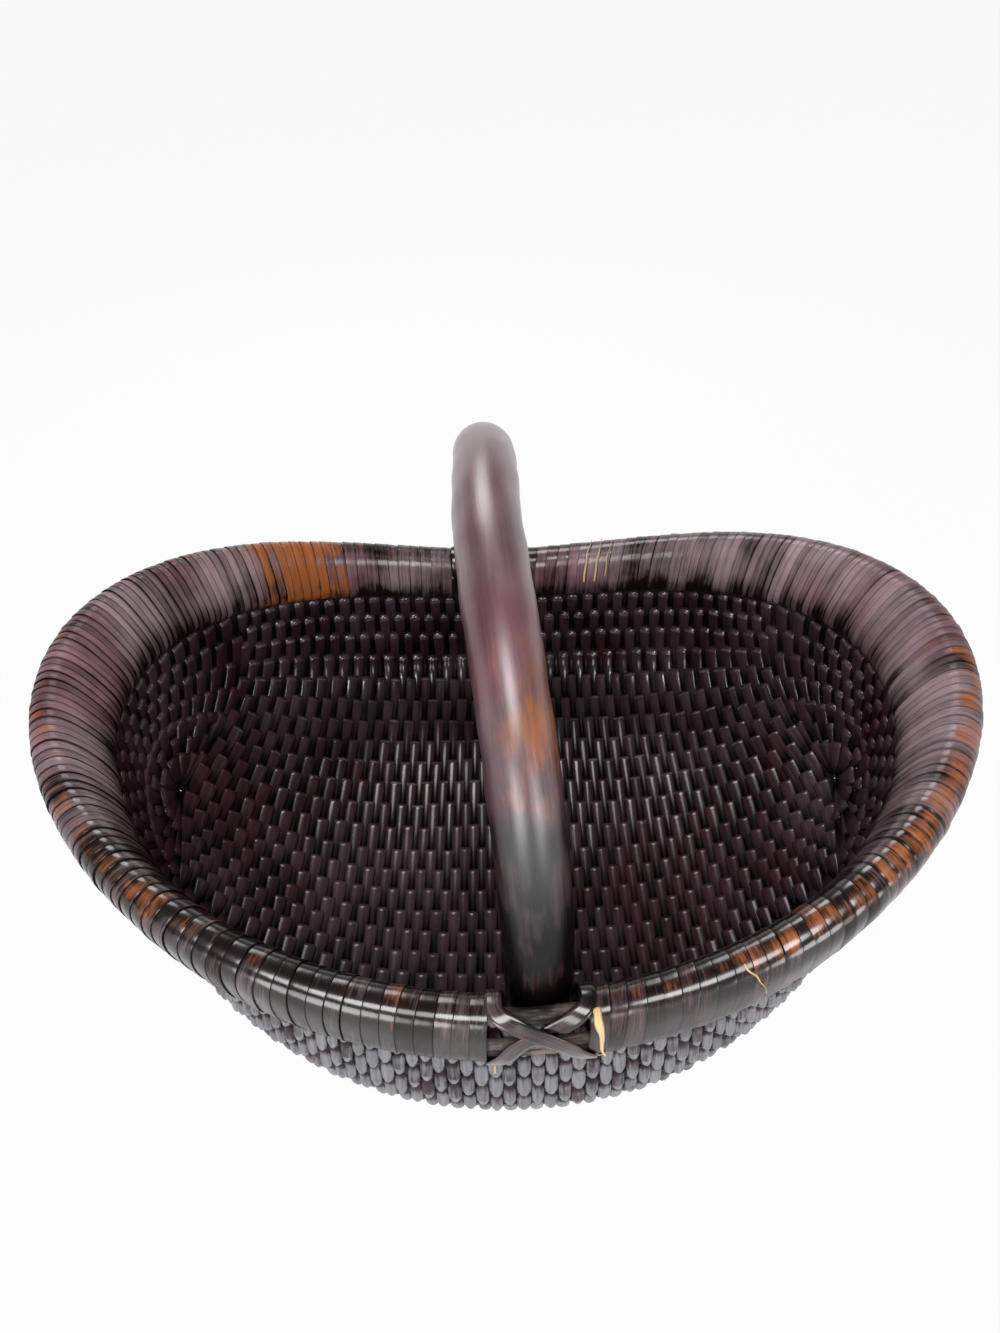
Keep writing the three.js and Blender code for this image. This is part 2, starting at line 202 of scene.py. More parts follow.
@dataclass
class Skin:
    """A mesh before Blender has it: points, faces, and values that ride on the points."""

    points: Array
    faces: list[Array]
    grain: Array
    values: dict[str, Array] = field(default_factory=dict)

    @classmethod
    def joined(cls, skins: Sequence["Skin"]) -> "Skin":
        """Several skins as one, with the faces renumbered.

        Args:
            skins: skins that carry the same values.

        Returns:
            One skin with all their points.
        """
        starts = np.cumsum([0] + [len(skin.points) for skin in skins[:-1]])
        return cls(
            points=np.concatenate([skin.points for skin in skins]),
            faces=[part + start for skin, start in zip(skins, starts) for part in skin.faces],
            grain=np.concatenate([skin.grain for skin in skins]),
            values={key: np.concatenate([skin.values[key] for skin in skins]) for key in skins[0].values},
        )

    def to_object(
        self, name: str, material: Material, slot: Slot, nodes: Sequence[str] = ()
    ) -> None:
        """Hands the mesh to Blender as a piece at the origin that rides on the basket.

        Args:
            name: the piece's name.
            material: its finish.
            slot: the record's slot for that finish; not used.
            nodes: CAD nodes that the piece stands for.
        """
        corners = np.concatenate([part.ravel() for part in self.faces]).astype(np.int32)
        sizes = np.concatenate([np.full(len(part), part.shape[1]) for part in self.faces])
        starts = np.concatenate([[0], np.cumsum(sizes)[:-1]]).astype(np.int32)
        mesh = bpy.data.meshes.new(name)
        mesh.vertices.add(len(self.points))
        mesh.vertices.foreach_set("co", self.points.astype(np.float32).ravel())
        mesh.loops.add(len(corners))
        mesh.loops.foreach_set("vertex_index", corners)
        mesh.polygons.add(len(starts))
        mesh.polygons.foreach_set("loop_start", starts)
        mesh.polygons.foreach_set("use_smooth", np.ones(len(starts), dtype=bool))
        grain = mesh.attributes.new("grain", "FLOAT_VECTOR", "POINT")
        grain.data.foreach_set("vector", self.grain.astype(np.float32).ravel())
        for key, value in self.values.items():
            mesh.attributes.new(key, "FLOAT", "POINT").data.foreach_set("value", value.astype(np.float32))
        mesh.update(calc_edges=True)
        mesh.materials.append(material)
        piece = bpy.data.objects.new(name, mesh)
        bpy.context.scene.collection.objects.link(piece)
        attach(piece, "root")
        if nodes:
            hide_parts(*nodes)
        LOG.info("%s: %d points, %d faces", name, len(self.points), len(starts))


def swept(
    path: Array,
    facing: Array,
    half_width: Amount,
    half_depth: Amount,
    sides: int,
    values: Values,
    closed: bool = False,
    power: Amount = 1.0,
    flare: Amount = 0.0,
) -> Skin:
    """Carries an oval along lines: point + side * width * cos(a)^power + face * depth * sin(a)^power.

    Args:
        path: lines of points, shape (lines, steps, 3).
        facing: the direction that the depth points in, roughly, in the shape of path.
        half_width: half size across the line, along the surface.
        half_depth: half size along facing.
        sides: points in each ring.
        values: numbers, or values in the shape (lines, 1), (lines, steps) or (lines, steps, sides).
        closed: whether each line runs back into its start.
        power: 1 is an ellipse, less is squarer; one number, or one for each point of the ring.
        flare: how much wider each point of the ring stands, in the shape (lines, steps, sides).

    Returns:
        Closed tubes, with grain coordinates of length and place in the section.
    """
    lines, steps = path.shape[:2]
    shape = (lines, steps, sides)
    if closed:
        forward = unit(np.roll(path, -1, axis=1) - np.roll(path, 1, axis=1))
    else:
        forward = unit(np.gradient(path, axis=1))
    side = unit(np.cross(facing, forward))
    face = np.cross(forward, side)
    angle = ring_angles(sides)
    wide = np.broadcast_to(half_width, (lines, steps))[..., None] * signed_power(np.cos(angle), power)
    wide = wide * (1.0 + flare)
    deep = np.broadcast_to(half_depth, (lines, steps))[..., None] * signed_power(np.sin(angle), power)
    points = path[:, :, None] + side[:, :, None] * wide[..., None] + face[:, :, None] * deep[..., None]
    length = run_lengths(path) + GRAIN_SHIFT * np.arange(lines)[:, None]
    grain = np.stack([np.broadcast_to(length[..., None], shape), wide, deep], axis=-1)
    index = np.arange(lines * steps * sides).reshape(shape)
    if closed:
        faces = [ring_quads(index, np.roll(index, -1, axis=1))]
    else:
        faces = [ring_quads(index[:, :-1], index[:, 1:]), index[:, 0, ::-1], index[:, -1]]
    spread = {key: per_point(value, shape) for key, value in values.items()}
    return Skin(points.reshape(-1, 3), faces, grain.reshape(-1, 3), spread)


# The basket's form


@dataclass(frozen=True)
class Foot:
    """Where a foot of the handle meets the rim: length along the rim, x, and the way it faces."""

    length: float
    shift: float
    facing: float


@dataclass
class Section:
    """Sections of the rim: centres, axes and half heights, one for each asked length."""

    centre: Array
    outward: Array
    across: Array
    tall: Array
    half_tall: Array
    near_end: Array

    def point(self, out: Amount, high: Amount) -> Array:
        """Points at distances from the centres.

        Args:
            out: distances outwards.
            high: distances up the section.

        Returns:
            The points.
        """
        shape = self.half_tall.shape
        out, high = np.broadcast_to(out, shape), np.broadcast_to(high, shape)
        return self.centre + self.across * out[..., None] + self.tall * high[..., None]


@dataclass
class RimLine:
    """The rim: a fuller-than-oval ring that sweeps up to both ends, with an upright oval section."""

    half_length: float = 250 * MM
    half_depth: float = 188 * MM
    height: float = 115 * MM
    end_rise: float = 70 * MM
    rise_curve: float = 1.7
    end_fullness: float = 0.085
    half_tall: float = 21.3 * MM
    end_half_tall: float = 27.5 * MM
    half_width: float = 12.7 * MM
    end_lean: float = math.radians(27.0)
    squareness: float = 2.5
    samples: int = 4000

    def __post_init__(self) -> None:
        """Measures the ring, so that places on it can be given by length."""
        self.turns = np.linspace(0.0, 1.0, self.samples + 1)
        self.lengths = run_lengths(self.centre(self.turns)[None])[0]
        self.round = float(self.lengths[-1])
        self.back_middle = self.round / 2.0

    def centre(self, turn: Array) -> Array:
        """Centre line: x = L cos a, y = D sin a * (1 + f (1 - sin^4 a)), z = h + rise |cos a|^curve.

        Args:
            turn: share of a turn from the middle of the front, by the right end.

        Returns:
            Points of the centre line.
        """
        angle = (turn - 0.25) * math.tau
        near_end = np.cos(angle) ** 2
        fuller = 1.0 + self.end_fullness * (1.0 - (1.0 - near_end) ** 2)
        x = self.half_length * np.cos(angle)
        y = self.half_depth * np.sin(angle) * fuller
        z = self.height + self.end_rise * np.abs(np.cos(angle)) ** self.rise_curve
        return np.stack([x, y, z], axis=-1)

    def section(self, length: Array) -> Section:
        """Sections square to the ring, leaning outwards towards the ends.

        Args:
            length: lengths along the ring from the middle of the front.

        Returns:
            The sections there.
        """
        turn = np.interp(np.mod(length, self.round), self.lengths, self.turns)
        centre = self.centre(turn)
        along = self.centre(turn + TURN_STEP) - self.centre(turn - TURN_STEP)
        along[..., 2] = 0.0
        along = unit(along)
        outward = np.stack([along[..., 1], -along[..., 0], np.zeros_like(turn)], axis=-1)
        near_end = (centre[..., 0] / self.half_length) ** 2
        lean = (self.end_lean * near_end)[..., None]
        across = outward * np.cos(lean) - UP * np.sin(lean)
        tall = outward * np.sin(lean) + UP * np.cos(lean)
        half_tall = mix(self.half_tall, self.end_half_tall, near_end)
        return Section(centre, outward, across, tall, half_tall, near_end)

    def oval(self, length: Array, angle: Array, grow: Amount) -> tuple[Array, Array]:
        """Points and outward directions on the rim's squared oval, grown by an offset.

        The point is (w + g) cos(a)^(2/n) out and (h + g) sin(a)^(2/n) up the section.

        Args:
            length: lengths along the ring.
            angle: 0 on the outside, a quarter turn on the crown.
            grow: offset from the oval.

        Returns:
            Points, and unit vectors that point away from the oval.
        """
        section = self.section(length)
        power = 2.0 / self.squareness
        cos, sin = np.cos(angle), np.sin(angle)
        out = (self.half_width + grow) * signed_power(cos, power)
        high = (section.half_tall + grow) * signed_power(sin, power)
        flat = signed_power(cos, 2.0 - power) / self.half_width
        upright = signed_power(sin, 2.0 - power) / section.half_tall
        away = unit(section.across * flat[..., None] + section.tall * upright[..., None])
        return section.point(out, high), away

    def sides(self, feet: tuple[Foot, Foot]) -> dict[str, tuple[float, float]]:
        """Lengths at which the right and the left side start and end, from foot to foot."""
        front, back = feet
        return {"right": (front.length, back.length), "left": (back.length, self.round + front.length)}


@dataclass
class WallForm:
    """The middle surface of the woven wall, from the spine of the floor up into the rim."""

    rim: RimLine
    spine_half: float = 222 * MM
    spine_rise: float = 78 * MM
    spine_curve: float = 3.0
    fan_start: float = 224 * MM
    half_wall: float = 3.8 * MM
    settle: float = 3.0 * MM
    lip_gap: float = 1.0 * MM
    belly: float = 15 * MM
    end_belly: float = -4.0 * MM
    foot_reach: float = 1.05
    end_foot_reach: float = 0.6
    end_side_drop: float = 0.5
    top_share: float = 0.42

    def spine_x(self, length: Array) -> Array:
        """Where on the spine the rod starts whose top is at a length along the rim.

        Args:
            length: lengths along the rim from the middle of the front.

        Returns:
            The distance sideways from the nearer foot, as x on the spine, held at its ends.
        """
        middle = self.rim.back_middle
        from_front = np.mod(length + middle, self.rim.round) - middle
        at_back = np.abs(from_front) > middle / 2.0
        sideways = np.where(at_back, np.sign(from_front) * (middle - np.abs(from_front)), from_front)
        return self.spine_half * np.clip(sideways / self.fan_start, -1.0, 1.0)

    def middle(self, length: Array, climb: Array) -> Array:
        """The wall's middle: a cubic curve by spine, foot, side and lip, then a straight line into the rim.

        Args:
            length: lengths along the rim that name the rods.
            climb: 0 at the spine, 1 at the rim's lower edge, 2 inside the rim.

        Returns:
            Points of the middle surface.
        """
        length, climb = np.broadcast_arrays(length, climb)
        section = self.rim.section(length)
        near_end = section.near_end
        x = self.spine_x(length)
        share = np.abs(x / self.spine_half)
        z = self.half_wall - self.settle + self.spine_rise * share**self.spine_curve
        spine = np.stack([x, np.zeros_like(x), z], axis=-1)
        steep = self.spine_curve * self.spine_rise / self.spine_half
        slope = steep * np.sign(x) * share ** (self.spine_curve - 1.0)
        lip = section.point(0.0, -section.half_tall - self.lip_gap)
        foot = mix(spine, lip, mix(self.foot_reach, self.end_foot_reach, near_end)[..., None])
        foot[..., 2] = spine[..., 2] + slope * (foot[..., 0] - spine[..., 0])
        side = lip + section.outward * mix(self.belly, self.end_belly, near_end)[..., None]
        side[..., 2] -= mix(1.0, self.end_side_drop, near_end) * (lip[..., 2] - spine[..., 2])
        t = np.minimum(climb, 1.0)[..., None]
        curve = (1 - t) ** 3 * spine + 3 * (1 - t) ** 2 * t * foot + 3 * (1 - t) * t**2 * side + t**3 * lip
        curve[..., 2] = np.maximum(curve[..., 2], self.half_wall)
        top = section.point(0.0, self.top_share * section.half_tall)
        return np.where(climb[..., None] > 1.0, mix(lip, top, climb[..., None] - 1.0), curve)


# Finishes


class Graph:
    """A node tree with short calls for its nodes and links."""

    def __init__(self, tree: Tree) -> None:
        """Starts from an empty tree."""
        self.tree = tree
        tree.nodes.clear()

    def fill(self, node: Node, sockets: dict[str | int, object]) -> None:
        """Fills or links inputs of a node.

        Args:
            node: the node.
            sockets: input name or number, to a value or to the output that feeds it.
        """
        for key, value in sockets.items():
            if isinstance(value, Socket):
                self.tree.links.new(value, node.inputs[key])
            else:
                node.inputs[key].default_value = value

    def node(
        self, kind: str, sockets: dict[str | int, object] | None = None, **settings: object
    ) -> Node:
        """Adds a node, sets its options and fills or links its inputs.

        Args:
            kind: the node's type without the word ShaderNode.
            sockets: input name or number, to a value or to the output that feeds it.
            settings: the node's own options.

        Returns:
            The node.
        """
        made = self.tree.nodes.new(kind if kind.startswith("Node") else "ShaderNode" + kind)
        for key, value in settings.items():
            setattr(made, key, value)
        self.fill(made, sockets or {})
        return made

    def calc(self, operation: str, *values: object) -> Socket:
        """The result of a Math node on numbers or outputs."""
        return self.node("Math", dict(enumerate(values)), operation=operation).outputs[0]

    def weighed(self, first: Socket, first_weight: float, second: Socket, second_weight: float) -> Socket:
        """The sum of two outputs, each times its weight."""
        parts = [self.calc("MULTIPLY", first, first_weight), self.calc("MULTIPLY", second, second_weight)]
        return self.calc("ADD", *parts)

    def scaled(self, place: Socket, scale: object) -> Socket:
        """A place with each coordinate multiplied by its scale."""
        return self.node("VectorMath", {0: place, 1: scale}, operation="MULTIPLY").outputs[0]

    def noise(self, place: Socket, scale: object, detail: float, roughness: float = 0.5) -> Socket:
        """Noise between 0 and 1 at a place."""
        sockets = {"Vector": place, "Scale": scale, "Detail": detail, "Roughness": roughness}
        return self.node("TexNoise", sockets).outputs["Fac"]

    def blend(self, share: object, first: object, second: object, kind: str = "MIX") -> Socket:
        """The colour a share of the way from first to second."""
        sockets = {0: share, 6: first, 7: second}
        return self.node("Mix", sockets, data_type="RGBA", blend_type=kind).outputs[2]

    def between(self, share: object, first: object, second: object) -> Socket:
        """The number a share of the way from first to second."""
        return self.node("Mix", {0: share, 2: first, 3: second}).outputs[0]

    def spread(
        self, value: Socket, low: float, high: float, to_low: float = 0.0, to_high: float = 1.0
    ) -> Socket:
        """A value carried smoothly from one range to another."""
        sockets = {"Value": value, "From Min": low, "From Max": high, "To Min": to_low, "To Max": to_high}
        return self.node("MapRange", sockets, interpolation_type="SMOOTHSTEP").outputs["Result"]


def new_group(
    name: str, inputs: dict[str, str], outputs: dict[str, str]
) -> tuple[Graph, dict[str, Socket], Node]:
    """An empty shader node group with named sockets.

    Args:
        name: the group's name.
        inputs: input name to socket type, without the word NodeSocket.
        outputs: output name to socket type.

    Returns:
        The group's graph, its inputs by name, and the node that stands for its outputs.
    """
    tree = bpy.data.node_groups.new(name, "ShaderNodeTree")
    for way, sockets in (("INPUT", inputs), ("OUTPUT", outputs)):
        for key, kind in sockets.items():
            tree.interface.new_socket(name=key, in_out=way, socket_type="NodeSocket" + kind)
    graph = Graph(tree)
    given = graph.node("NodeGroupInput").outputs
    return graph, {key: given[key] for key in inputs}, graph.node("NodeGroupOutput")


def fibre_group() -> Tree:
    """Fibres that run along a rod or strip: noise drawn out along the grain, coarse and fine, with pores.

    Returns:
        A group from grain coordinates and scales to the fibres' streaks and heights.
    """
    inputs = {"Grain": "Vector", "Across": "Float", "Along": "Float"}
    graph, given, out = new_group("willow_fibre", inputs, {"Streak": "Float", "Height": "Float"})
    scale = graph.node("CombineXYZ", {"X": given["Along"], "Y": given["Across"], "Z": given["Across"]})
    place = graph.scaled(given["Grain"], scale.outputs[0])
    coarse = graph.noise(place, scale=1.0, detail=3.0, roughness=0.6)
    fine = graph.noise(place, scale=3.7, detail=2.0, roughness=0.7)
    streak = graph.spread(graph.weighed(coarse, 0.65, fine, 0.35), 0.3, 0.7)
    pores = graph.spread(fine, 0.3, 0.6, 0.4, 1.0)
    graph.fill(out, {"Streak": streak, "Height": graph.calc("MULTIPLY", coarse, pores)})
    return graph.tree


def wear_group() -> Tree:
    """Rubbed patches: where the wear value beats a noise of patches and scratches, the mask goes up to 1.

    Returns:
        A group from wear, place, grain and the patches' scale to the mask.
    """
    inputs = {"Wear": "Float", "Place": "Vector", "Grain": "Vector", "Size": "Float"}
    graph, given, out = new_group("rubbed_wear", inputs, {"Mask": "Float"})
    patch = graph.noise(given["Place"], given["Size"], detail=3.0)
    scratch = graph.noise(graph.scaled(given["Grain"], (90.0, 700.0, 700.0)), scale=1.0, detail=2.0)
    broken = graph.weighed(patch, 0.6, scratch, 0.4)
    over = graph.calc("ADD", graph.calc("SUBTRACT", given["Wear"], 1.0), broken)
    graph.fill(out, {"Mask": graph.spread(over, -0.12, 0.2)})
    return graph.tree


def stain_group() -> Tree:
    """Uneven stain: a dark and a light tone mixed by tone, fibres and slow blotches, then tinted.

    Returns:
        A group from three colours, tone, streaks and place to the stained colour.
    """
    colours = {"Dark": "Color", "Light": "Color", "Tint": "Color"}
    inputs = {**colours, "Tone": "Float", "Streak": "Float", "Place": "Vector"}
    graph, given, out = new_group("uneven_stain", inputs, {"Colour": "Color"})
    blotch = graph.noise(given["Place"], scale=34.0, detail=2.0)
    tinge = graph.noise(given["Place"], scale=13.0, detail=1.0)
    share = graph.weighed(given["Tone"], 0.45, given["Streak"], 0.4)
    share = graph.calc("ADD", share, graph.spread(blotch, 0.3, 0.7, -0.12, 0.25))
    tone = graph.blend(share, given["Dark"], given["Light"])
    tinted = graph.blend(graph.spread(tinge, 0.42, 0.62, 0.0, 0.75), tone, given["Tint"], "SOFT_LIGHT")
    graph.fill(out, {"Colour": tinted})
    return graph.tree


@dataclass(frozen=True)
class WillowFinish:
    """Stained willow: fibres along the grain, an uneven stain, rubbed patches and a worn gloss."""

    name: str
    dark: Colour
    light: Colour
    tint: Colour
    worn: Colour
    worn_streak: float = 0.55
    roughness: tuple[float, float] = (0.34, 0.55)
    worn_roughness: float = 0.5
    specular: float = 0.4
    coat: float = 0.0
    coat_roughness: float = 0.25
    coat_ior: float = 1.6
    along: float = 22.0
    across: float = 420.0
    wear_size: float = 60.0
    relief: float = 0.5 * MM
    relief_strength: float = 0.6

    def material(self, groups: dict[str, Tree]) -> Material:
        """Builds the material from the shared groups.

        Args:
            groups: the node groups for fibre, wear and stain.

        Returns:
            The material.
        """
        made = bpy.data.materials.new(self.name)
        made.use_nodes = True
        graph = Graph(made.node_tree)
        place = graph.node("TexCoord").outputs["Object"]
        grain = graph.node("Attribute", attribute_name="grain").outputs["Vector"]
        ridden = {key: graph.node("Attribute", attribute_name=key) for key in ("tone", "wear", "gloss")}
        tone, rubbed, gloss = (node.outputs["Fac"] for node in ridden.values())
        scales = {"Grain": grain, "Across": self.across, "Along": self.along}
        fibre = graph.node("Group", scales, node_tree=groups["fibre"]).outputs
        rubbing = {"Wear": rubbed, "Place": place, "Grain": grain, "Size": self.wear_size}
        wear = graph.node("Group", rubbing, node_tree=groups["wear"]).outputs["Mask"]
        colours = {"Dark": (*self.dark, 1.0), "Light": (*self.light, 1.0), "Tint": (*self.tint, 1.0)}
        staining = {**colours, "Tone": tone, "Streak": fibre["Streak"], "Place": place}
        stain = graph.node("Group", staining, node_tree=groups["stain"]).outputs["Colour"]
        worn_dark = tuple(self.worn_streak * v for v in self.worn)
        worn = graph.blend(fibre["Streak"], (*worn_dark, 1.0), (*self.worn, 1.0))
        rough = graph.spread(fibre["Streak"], 0.0, 1.0, *self.roughness)
        bumps = {"Height": fibre["Height"], "Strength": self.relief_strength, "Distance": self.relief}
        sockets = {
            "Base Color": graph.blend(wear, stain, worn),
            "Roughness": graph.between(wear, rough, self.worn_roughness),
            "Normal": graph.node("Bump", bumps).outputs[0],
            "Specular IOR Level": self.specular,
        }
        if self.coat > 0.0:
            sockets["Coat Weight"] = graph.calc("MULTIPLY", gloss, self.coat)
            sockets["Coat Roughness"] = self.coat_roughness
            sockets["Coat IOR"] = self.coat_ior
        shader = graph.node("BsdfPrincipled", sockets)
        graph.node("OutputMaterial", {"Surface": shader.outputs[0]})
        return made


# The rods' worn colour is the grey dust of their outside, which also stands in for a painted sheen.
WEAVE_FINISH = WillowFinish(
    "dark_willow_rods",
    dark=linear(7, 5, 6), light=linear(73, 53, 62),
    tint=linear(146, 74, 88), worn=linear(138, 138, 144),
    roughness=(0.4, 0.55), worn_roughness=0.42, specular=0.12,
    coat=1.0, coat_roughness=0.2, coat_ior=1.7,
    along=30.0, across=520.0, relief=0.25 * MM,
)
TWINE_FINISH = WillowFinish(
    "split_twine",
    dark=linear(9, 6, 6), light=linear(40, 31, 31),
    tint=linear(90, 64, 60), worn=linear(94, 87, 85),
    roughness=(0.5, 0.65), specular=0.25, along=60.0, across=700.0, relief=0.3 * MM,
)
STRIP_FINISH = WillowFinish(
    "worn_binding_strip",
    dark=linear(24, 13, 12), light=linear(176, 152, 158),
    tint=linear(142, 100, 104), worn=linear(190, 111, 62),
    roughness=(0.28, 0.42), worn_roughness=0.34, specular=0.12,
    coat=1.0, coat_roughness=0.19, coat_ior=1.65,
    along=26.0, across=450.0, wear_size=70.0, relief=0.45 * MM,
)
ROD_FINISH = WillowFinish(
    "grey_hoop_rod",
    dark=linear(26, 23, 23), light=linear(108, 101, 100),
    tint=linear(110, 90, 86), worn=linear(162, 147, 136),
    roughness=(0.42, 0.6), specular=0.2, along=24.0, across=480.0,
)
POLE_FINISH = WillowFinish(
    "hand_polished_pole",
    dark=linear(9, 6, 7), light=linear(122, 93, 101),
    tint=linear(150, 88, 100), worn=linear(164, 96, 60),
    roughness=(0.3, 0.44), worn_roughness=0.3, specular=0.12,
    coat=1.0, coat_roughness=0.36, coat_ior=1.8,
    along=12.0, across=130.0, wear_size=55.0, relief=0.6 * MM,
)
TORN_FINISH = WillowFinish(
    "torn_pale_strip",
    dark=linear(196, 160, 110), light=linear(242, 220, 178),
    tint=linear(214, 176, 128), worn=linear(246, 230, 200),
    roughness=(0.6, 0.75), along=40.0, across=1200.0, relief=0.4 * MM,
)


# Pieces


@dataclass
class WovenBody:
    """Rods from rim to rim and in two end fans, held by rows of twine that ring the spine of the floor.

    Between two of its twines a rod leans slowly into the basket, then drops back over the next twine, so
    each length has a blunt end, towards the rim on the inside and towards the floor on the outside.
    Neighbours are half a lean apart.
    """

    wall: WallForm
    middle_rods: int = 71
    fan_rods: int = 33
    rows: int = 12
    leans: int = 6
    front_leans: int = 10
    front_turned: int = 4
    front_crowding: float = 0.36
    front_calm: float = 0.7
    front_calm_from: float = 55 * MM
    front_calm_to: float = -25 * MM
    front_matte: float = 0.5
    front_matte_from: float = 60 * MM
    front_matte_to: float = -30 * MM
    front_spread: float = 0.16
    fan_leans: int = 4
    fan_pairs: int = 2
    fan_calm: float = 0.75
    fine_steps: int = 100
    spine_ease: int = 12
    spine_ease_climb: float = 0.2
    inner_face: float = 2.3 * MM
    inner_swing: float = 2.1 * MM
    outer_face: float = 3.0 * MM
    outer_swing: float = 1.5 * MM
    rod_cover: float = 0.56
    rod_room: tuple[float, float] = (1.2 * MM, 9.5 * MM)
    least_size: float = 0.25
    drop: float = 0.08
    knots: tuple[float, ...] = (0.0, 0.06, 0.14, 0.3, 0.5, 0.7, 0.86, 0.91, 0.935, 0.965)
    knot_gap: float = 0.02
    rod_sides: int = 12
    inner_power: float = 0.68
    outer_power: float = 0.72
    inner_flare: float = 0.75
    outer_taper: float = 0.26
    end_pinch: float = 0.4
    end_pinch_turns: float = 0.15
    row_wander: Wander = Wander(0.8 * MM, (0.083, 0.21))
    inner_wander: Wander = Wander(0.07, (0.07, 0.19))
    outer_wander: Wander = Wander(0.04, (0.07, 0.19))
    side_wander: Wander = Wander(0.04, (0.11, 0.31))
    width_wander: Wander = Wander(0.06, (0.09, 0.23))
    tone_wander: Wander = Wander(0.15, (0.045, 0.16))
    dust_sheen_wander: Wander = Wander(0.12, (0.05, 0.17))
    shine_wander: Wander = Wander(0.2, (0.13, 0.4))
    outer_crest: tuple[float, float] = (0.03, 0.06)
    inner_crest: tuple[float, float] = (0.91, 0.022)
    tone: float = 0.15
    tone_spread: float = 0.7
    # painted light on the part of each rod that leans into the basket
    lean_painted_light: float = 0.5
    matte_light: float = 0.6
    # painted highlight on the crests, in tone and in wear
    crest_highlight: float = 0.8
    # painted shade where the neighbours lap over a rod
    recess_shade: float = 1.2
    wear: float = 0.1
    crest_wear_and_highlight: float = 0.4
    # dust on the outside that also stands in for a painted sheen, with a painted highlight on the scales'
    # corners
    dust_and_sheen: float = 0.52
    edge_highlight: float = 0.16
    shine: float = 0.78
    shine_spread: float = 0.25
    least_shine: float = 0.2
    outer_shine: float = 0.8
    twine_top: float = 1.3
    twine_depth: float = -0.9 * MM
    twine_swing: float = 0.2 * MM
    twine_cover: float = 0.53
    twine_half_depth: float = 0.4 * MM
    twine_sides: int = 6
    ground: float = 0.1 * MM
    seed: int = 11

    def __post_init__(self) -> None:
        """Works out where the rods stand on the rim."""
        rim, fan = self.wall.rim, self.wall.fan_start
        self.middle_gap = 2.0 * fan / self.middle_rods
        back_corners = [rim.back_middle - fan, rim.back_middle + fan]
        self.corner_lengths = np.array([-fan, fan, *back_corners, rim.round - fan])
        self.corner_numbers = np.cumsum([0] + 2 * [self.middle_rods, self.fan_rods])

    def length_of(self, number: Array, climb: Array) -> Array:
        """Length along the rim of rods by number; on the front wall they stand wider apart in the middle.

        Args:
            number: numbers of rods in the ring of rods.
            climb: how far up the wall.

        Returns:
            Lengths along the rim: the even share s, moved by spread * s (1 - s^2) as the front rods climb.
        """
        plain = np.interp(number + 0.5, self.corner_numbers, self.corner_lengths)
        share = np.clip(plain / self.wall.fan_start, -1.0, 1.0)
        moved = self.front_spread * self.wall.fan_start * share * (1.0 - share**2)
        return plain + moved * smooth(climb, 0.1, 0.75)

    def lean_at(self, turn: Array) -> Array:
        """A slanted wave: -1 to 1 in an even climb, then back in a short smooth drop at each whole turn.

        Args:
            turn: turns of the wave.

        Returns:
            The lean, from -1 outside to 1 inside.
        """
        share = np.mod(turn, 1.0)
        climb = share / (1.0 - self.drop)
        fall = smooth(share, 1.0 - self.drop, 1.0)
        return np.where(climb < 1.0, 2.0 * climb - 1.0, 1.0 - 2.0 * fall)

    def turns(self, early: float, leans: int, turned: int = 0) -> Array:
        """Turns of the wave at a rod's points, from the spine into the rim.

        Args:
            early: turns that the rod starts with.
            leans: turns up to the lip.
            turned: turns from the spine in which the wave runs the other way.

        Returns:
            The turns, less the early ones.
        """
        whole = np.arange(leans + 2)[:, None]
        knots = np.array(self.knots)
        turn = np.unique(np.round(whole + np.where(whole < turned, 1.0 - knots[::-1], knots), 6)) - early
        inside = turn[(turn > self.knot_gap) & (turn < leans + 1.0 - self.knot_gap)]
        return np.concatenate([[0.0], inside, [leans + 1.0]])[None]

    @staticmethod
    def reach(turn: Array, leans: int, to_lip: Array, to_top: Array, crowding: float = 0.0) -> Array:
        """Length from the spine at turns t of n: lip * ((1 + c) t/n - c (t/n)^2), the last turn in the rim.

        Args:
            turn: turns of the slanted wave.
            leans: turns up to the lip.
            to_lip: length from the spine to the lip.
            to_top: length from the spine to the rod's end.
            crowding: c, how much closer the turns stand towards the lip.

        Returns:
            Lengths from the spine.
        """
        share = turn / leans
        below = to_lip * share * (1.0 + crowding * (1.0 - share))
        return np.where(turn <= leans, below, mix(to_lip, to_top, turn - leans))

    def paint(self, wanted: Array, turn: Array, ease: Array, front: Array, rng: Random) -> Values:
        """Values of rods: painted highlights on the crests, painted shade on the flanks and where the
        neighbours lap over.

        The outside is dusty and worn, the grey dust also a painted sheen, and on the front wall the gloss is
        dull.

        Args:
            wanted: lengths along the lines of the rods' points.
            turn: turns of the slanted wave there.
            ease: share of the full lean there.
            front: 1 on the front wall, 0 on the back one.
            rng: seeded source of the small differences.

        Returns:
            Tone, wear and gloss, in the shape (rods, points, sides).
        """
        each_rod = (len(wanted), 1)
        lean = self.lean_at(turn)
        share = np.mod(turn, 1.0)
        angle = ring_angles(self.rod_sides)
        inside = smooth(np.sin(angle), -0.3, 0.3)
        beside = np.abs(np.cos(angle))
        # painted shade on the rods' sides, down in the gaps between them
        shaded_flank = smooth(beside, 0.8, 1.0)
        # painted shade: darker where a rod sinks behind its neighbours' ends, on the inside and on the
        # outside
        shaded_recess = mix(smooth(lean, -0.05, 0.85)[..., None], smooth(-lean, -0.4, 0.7)[..., None], inside)
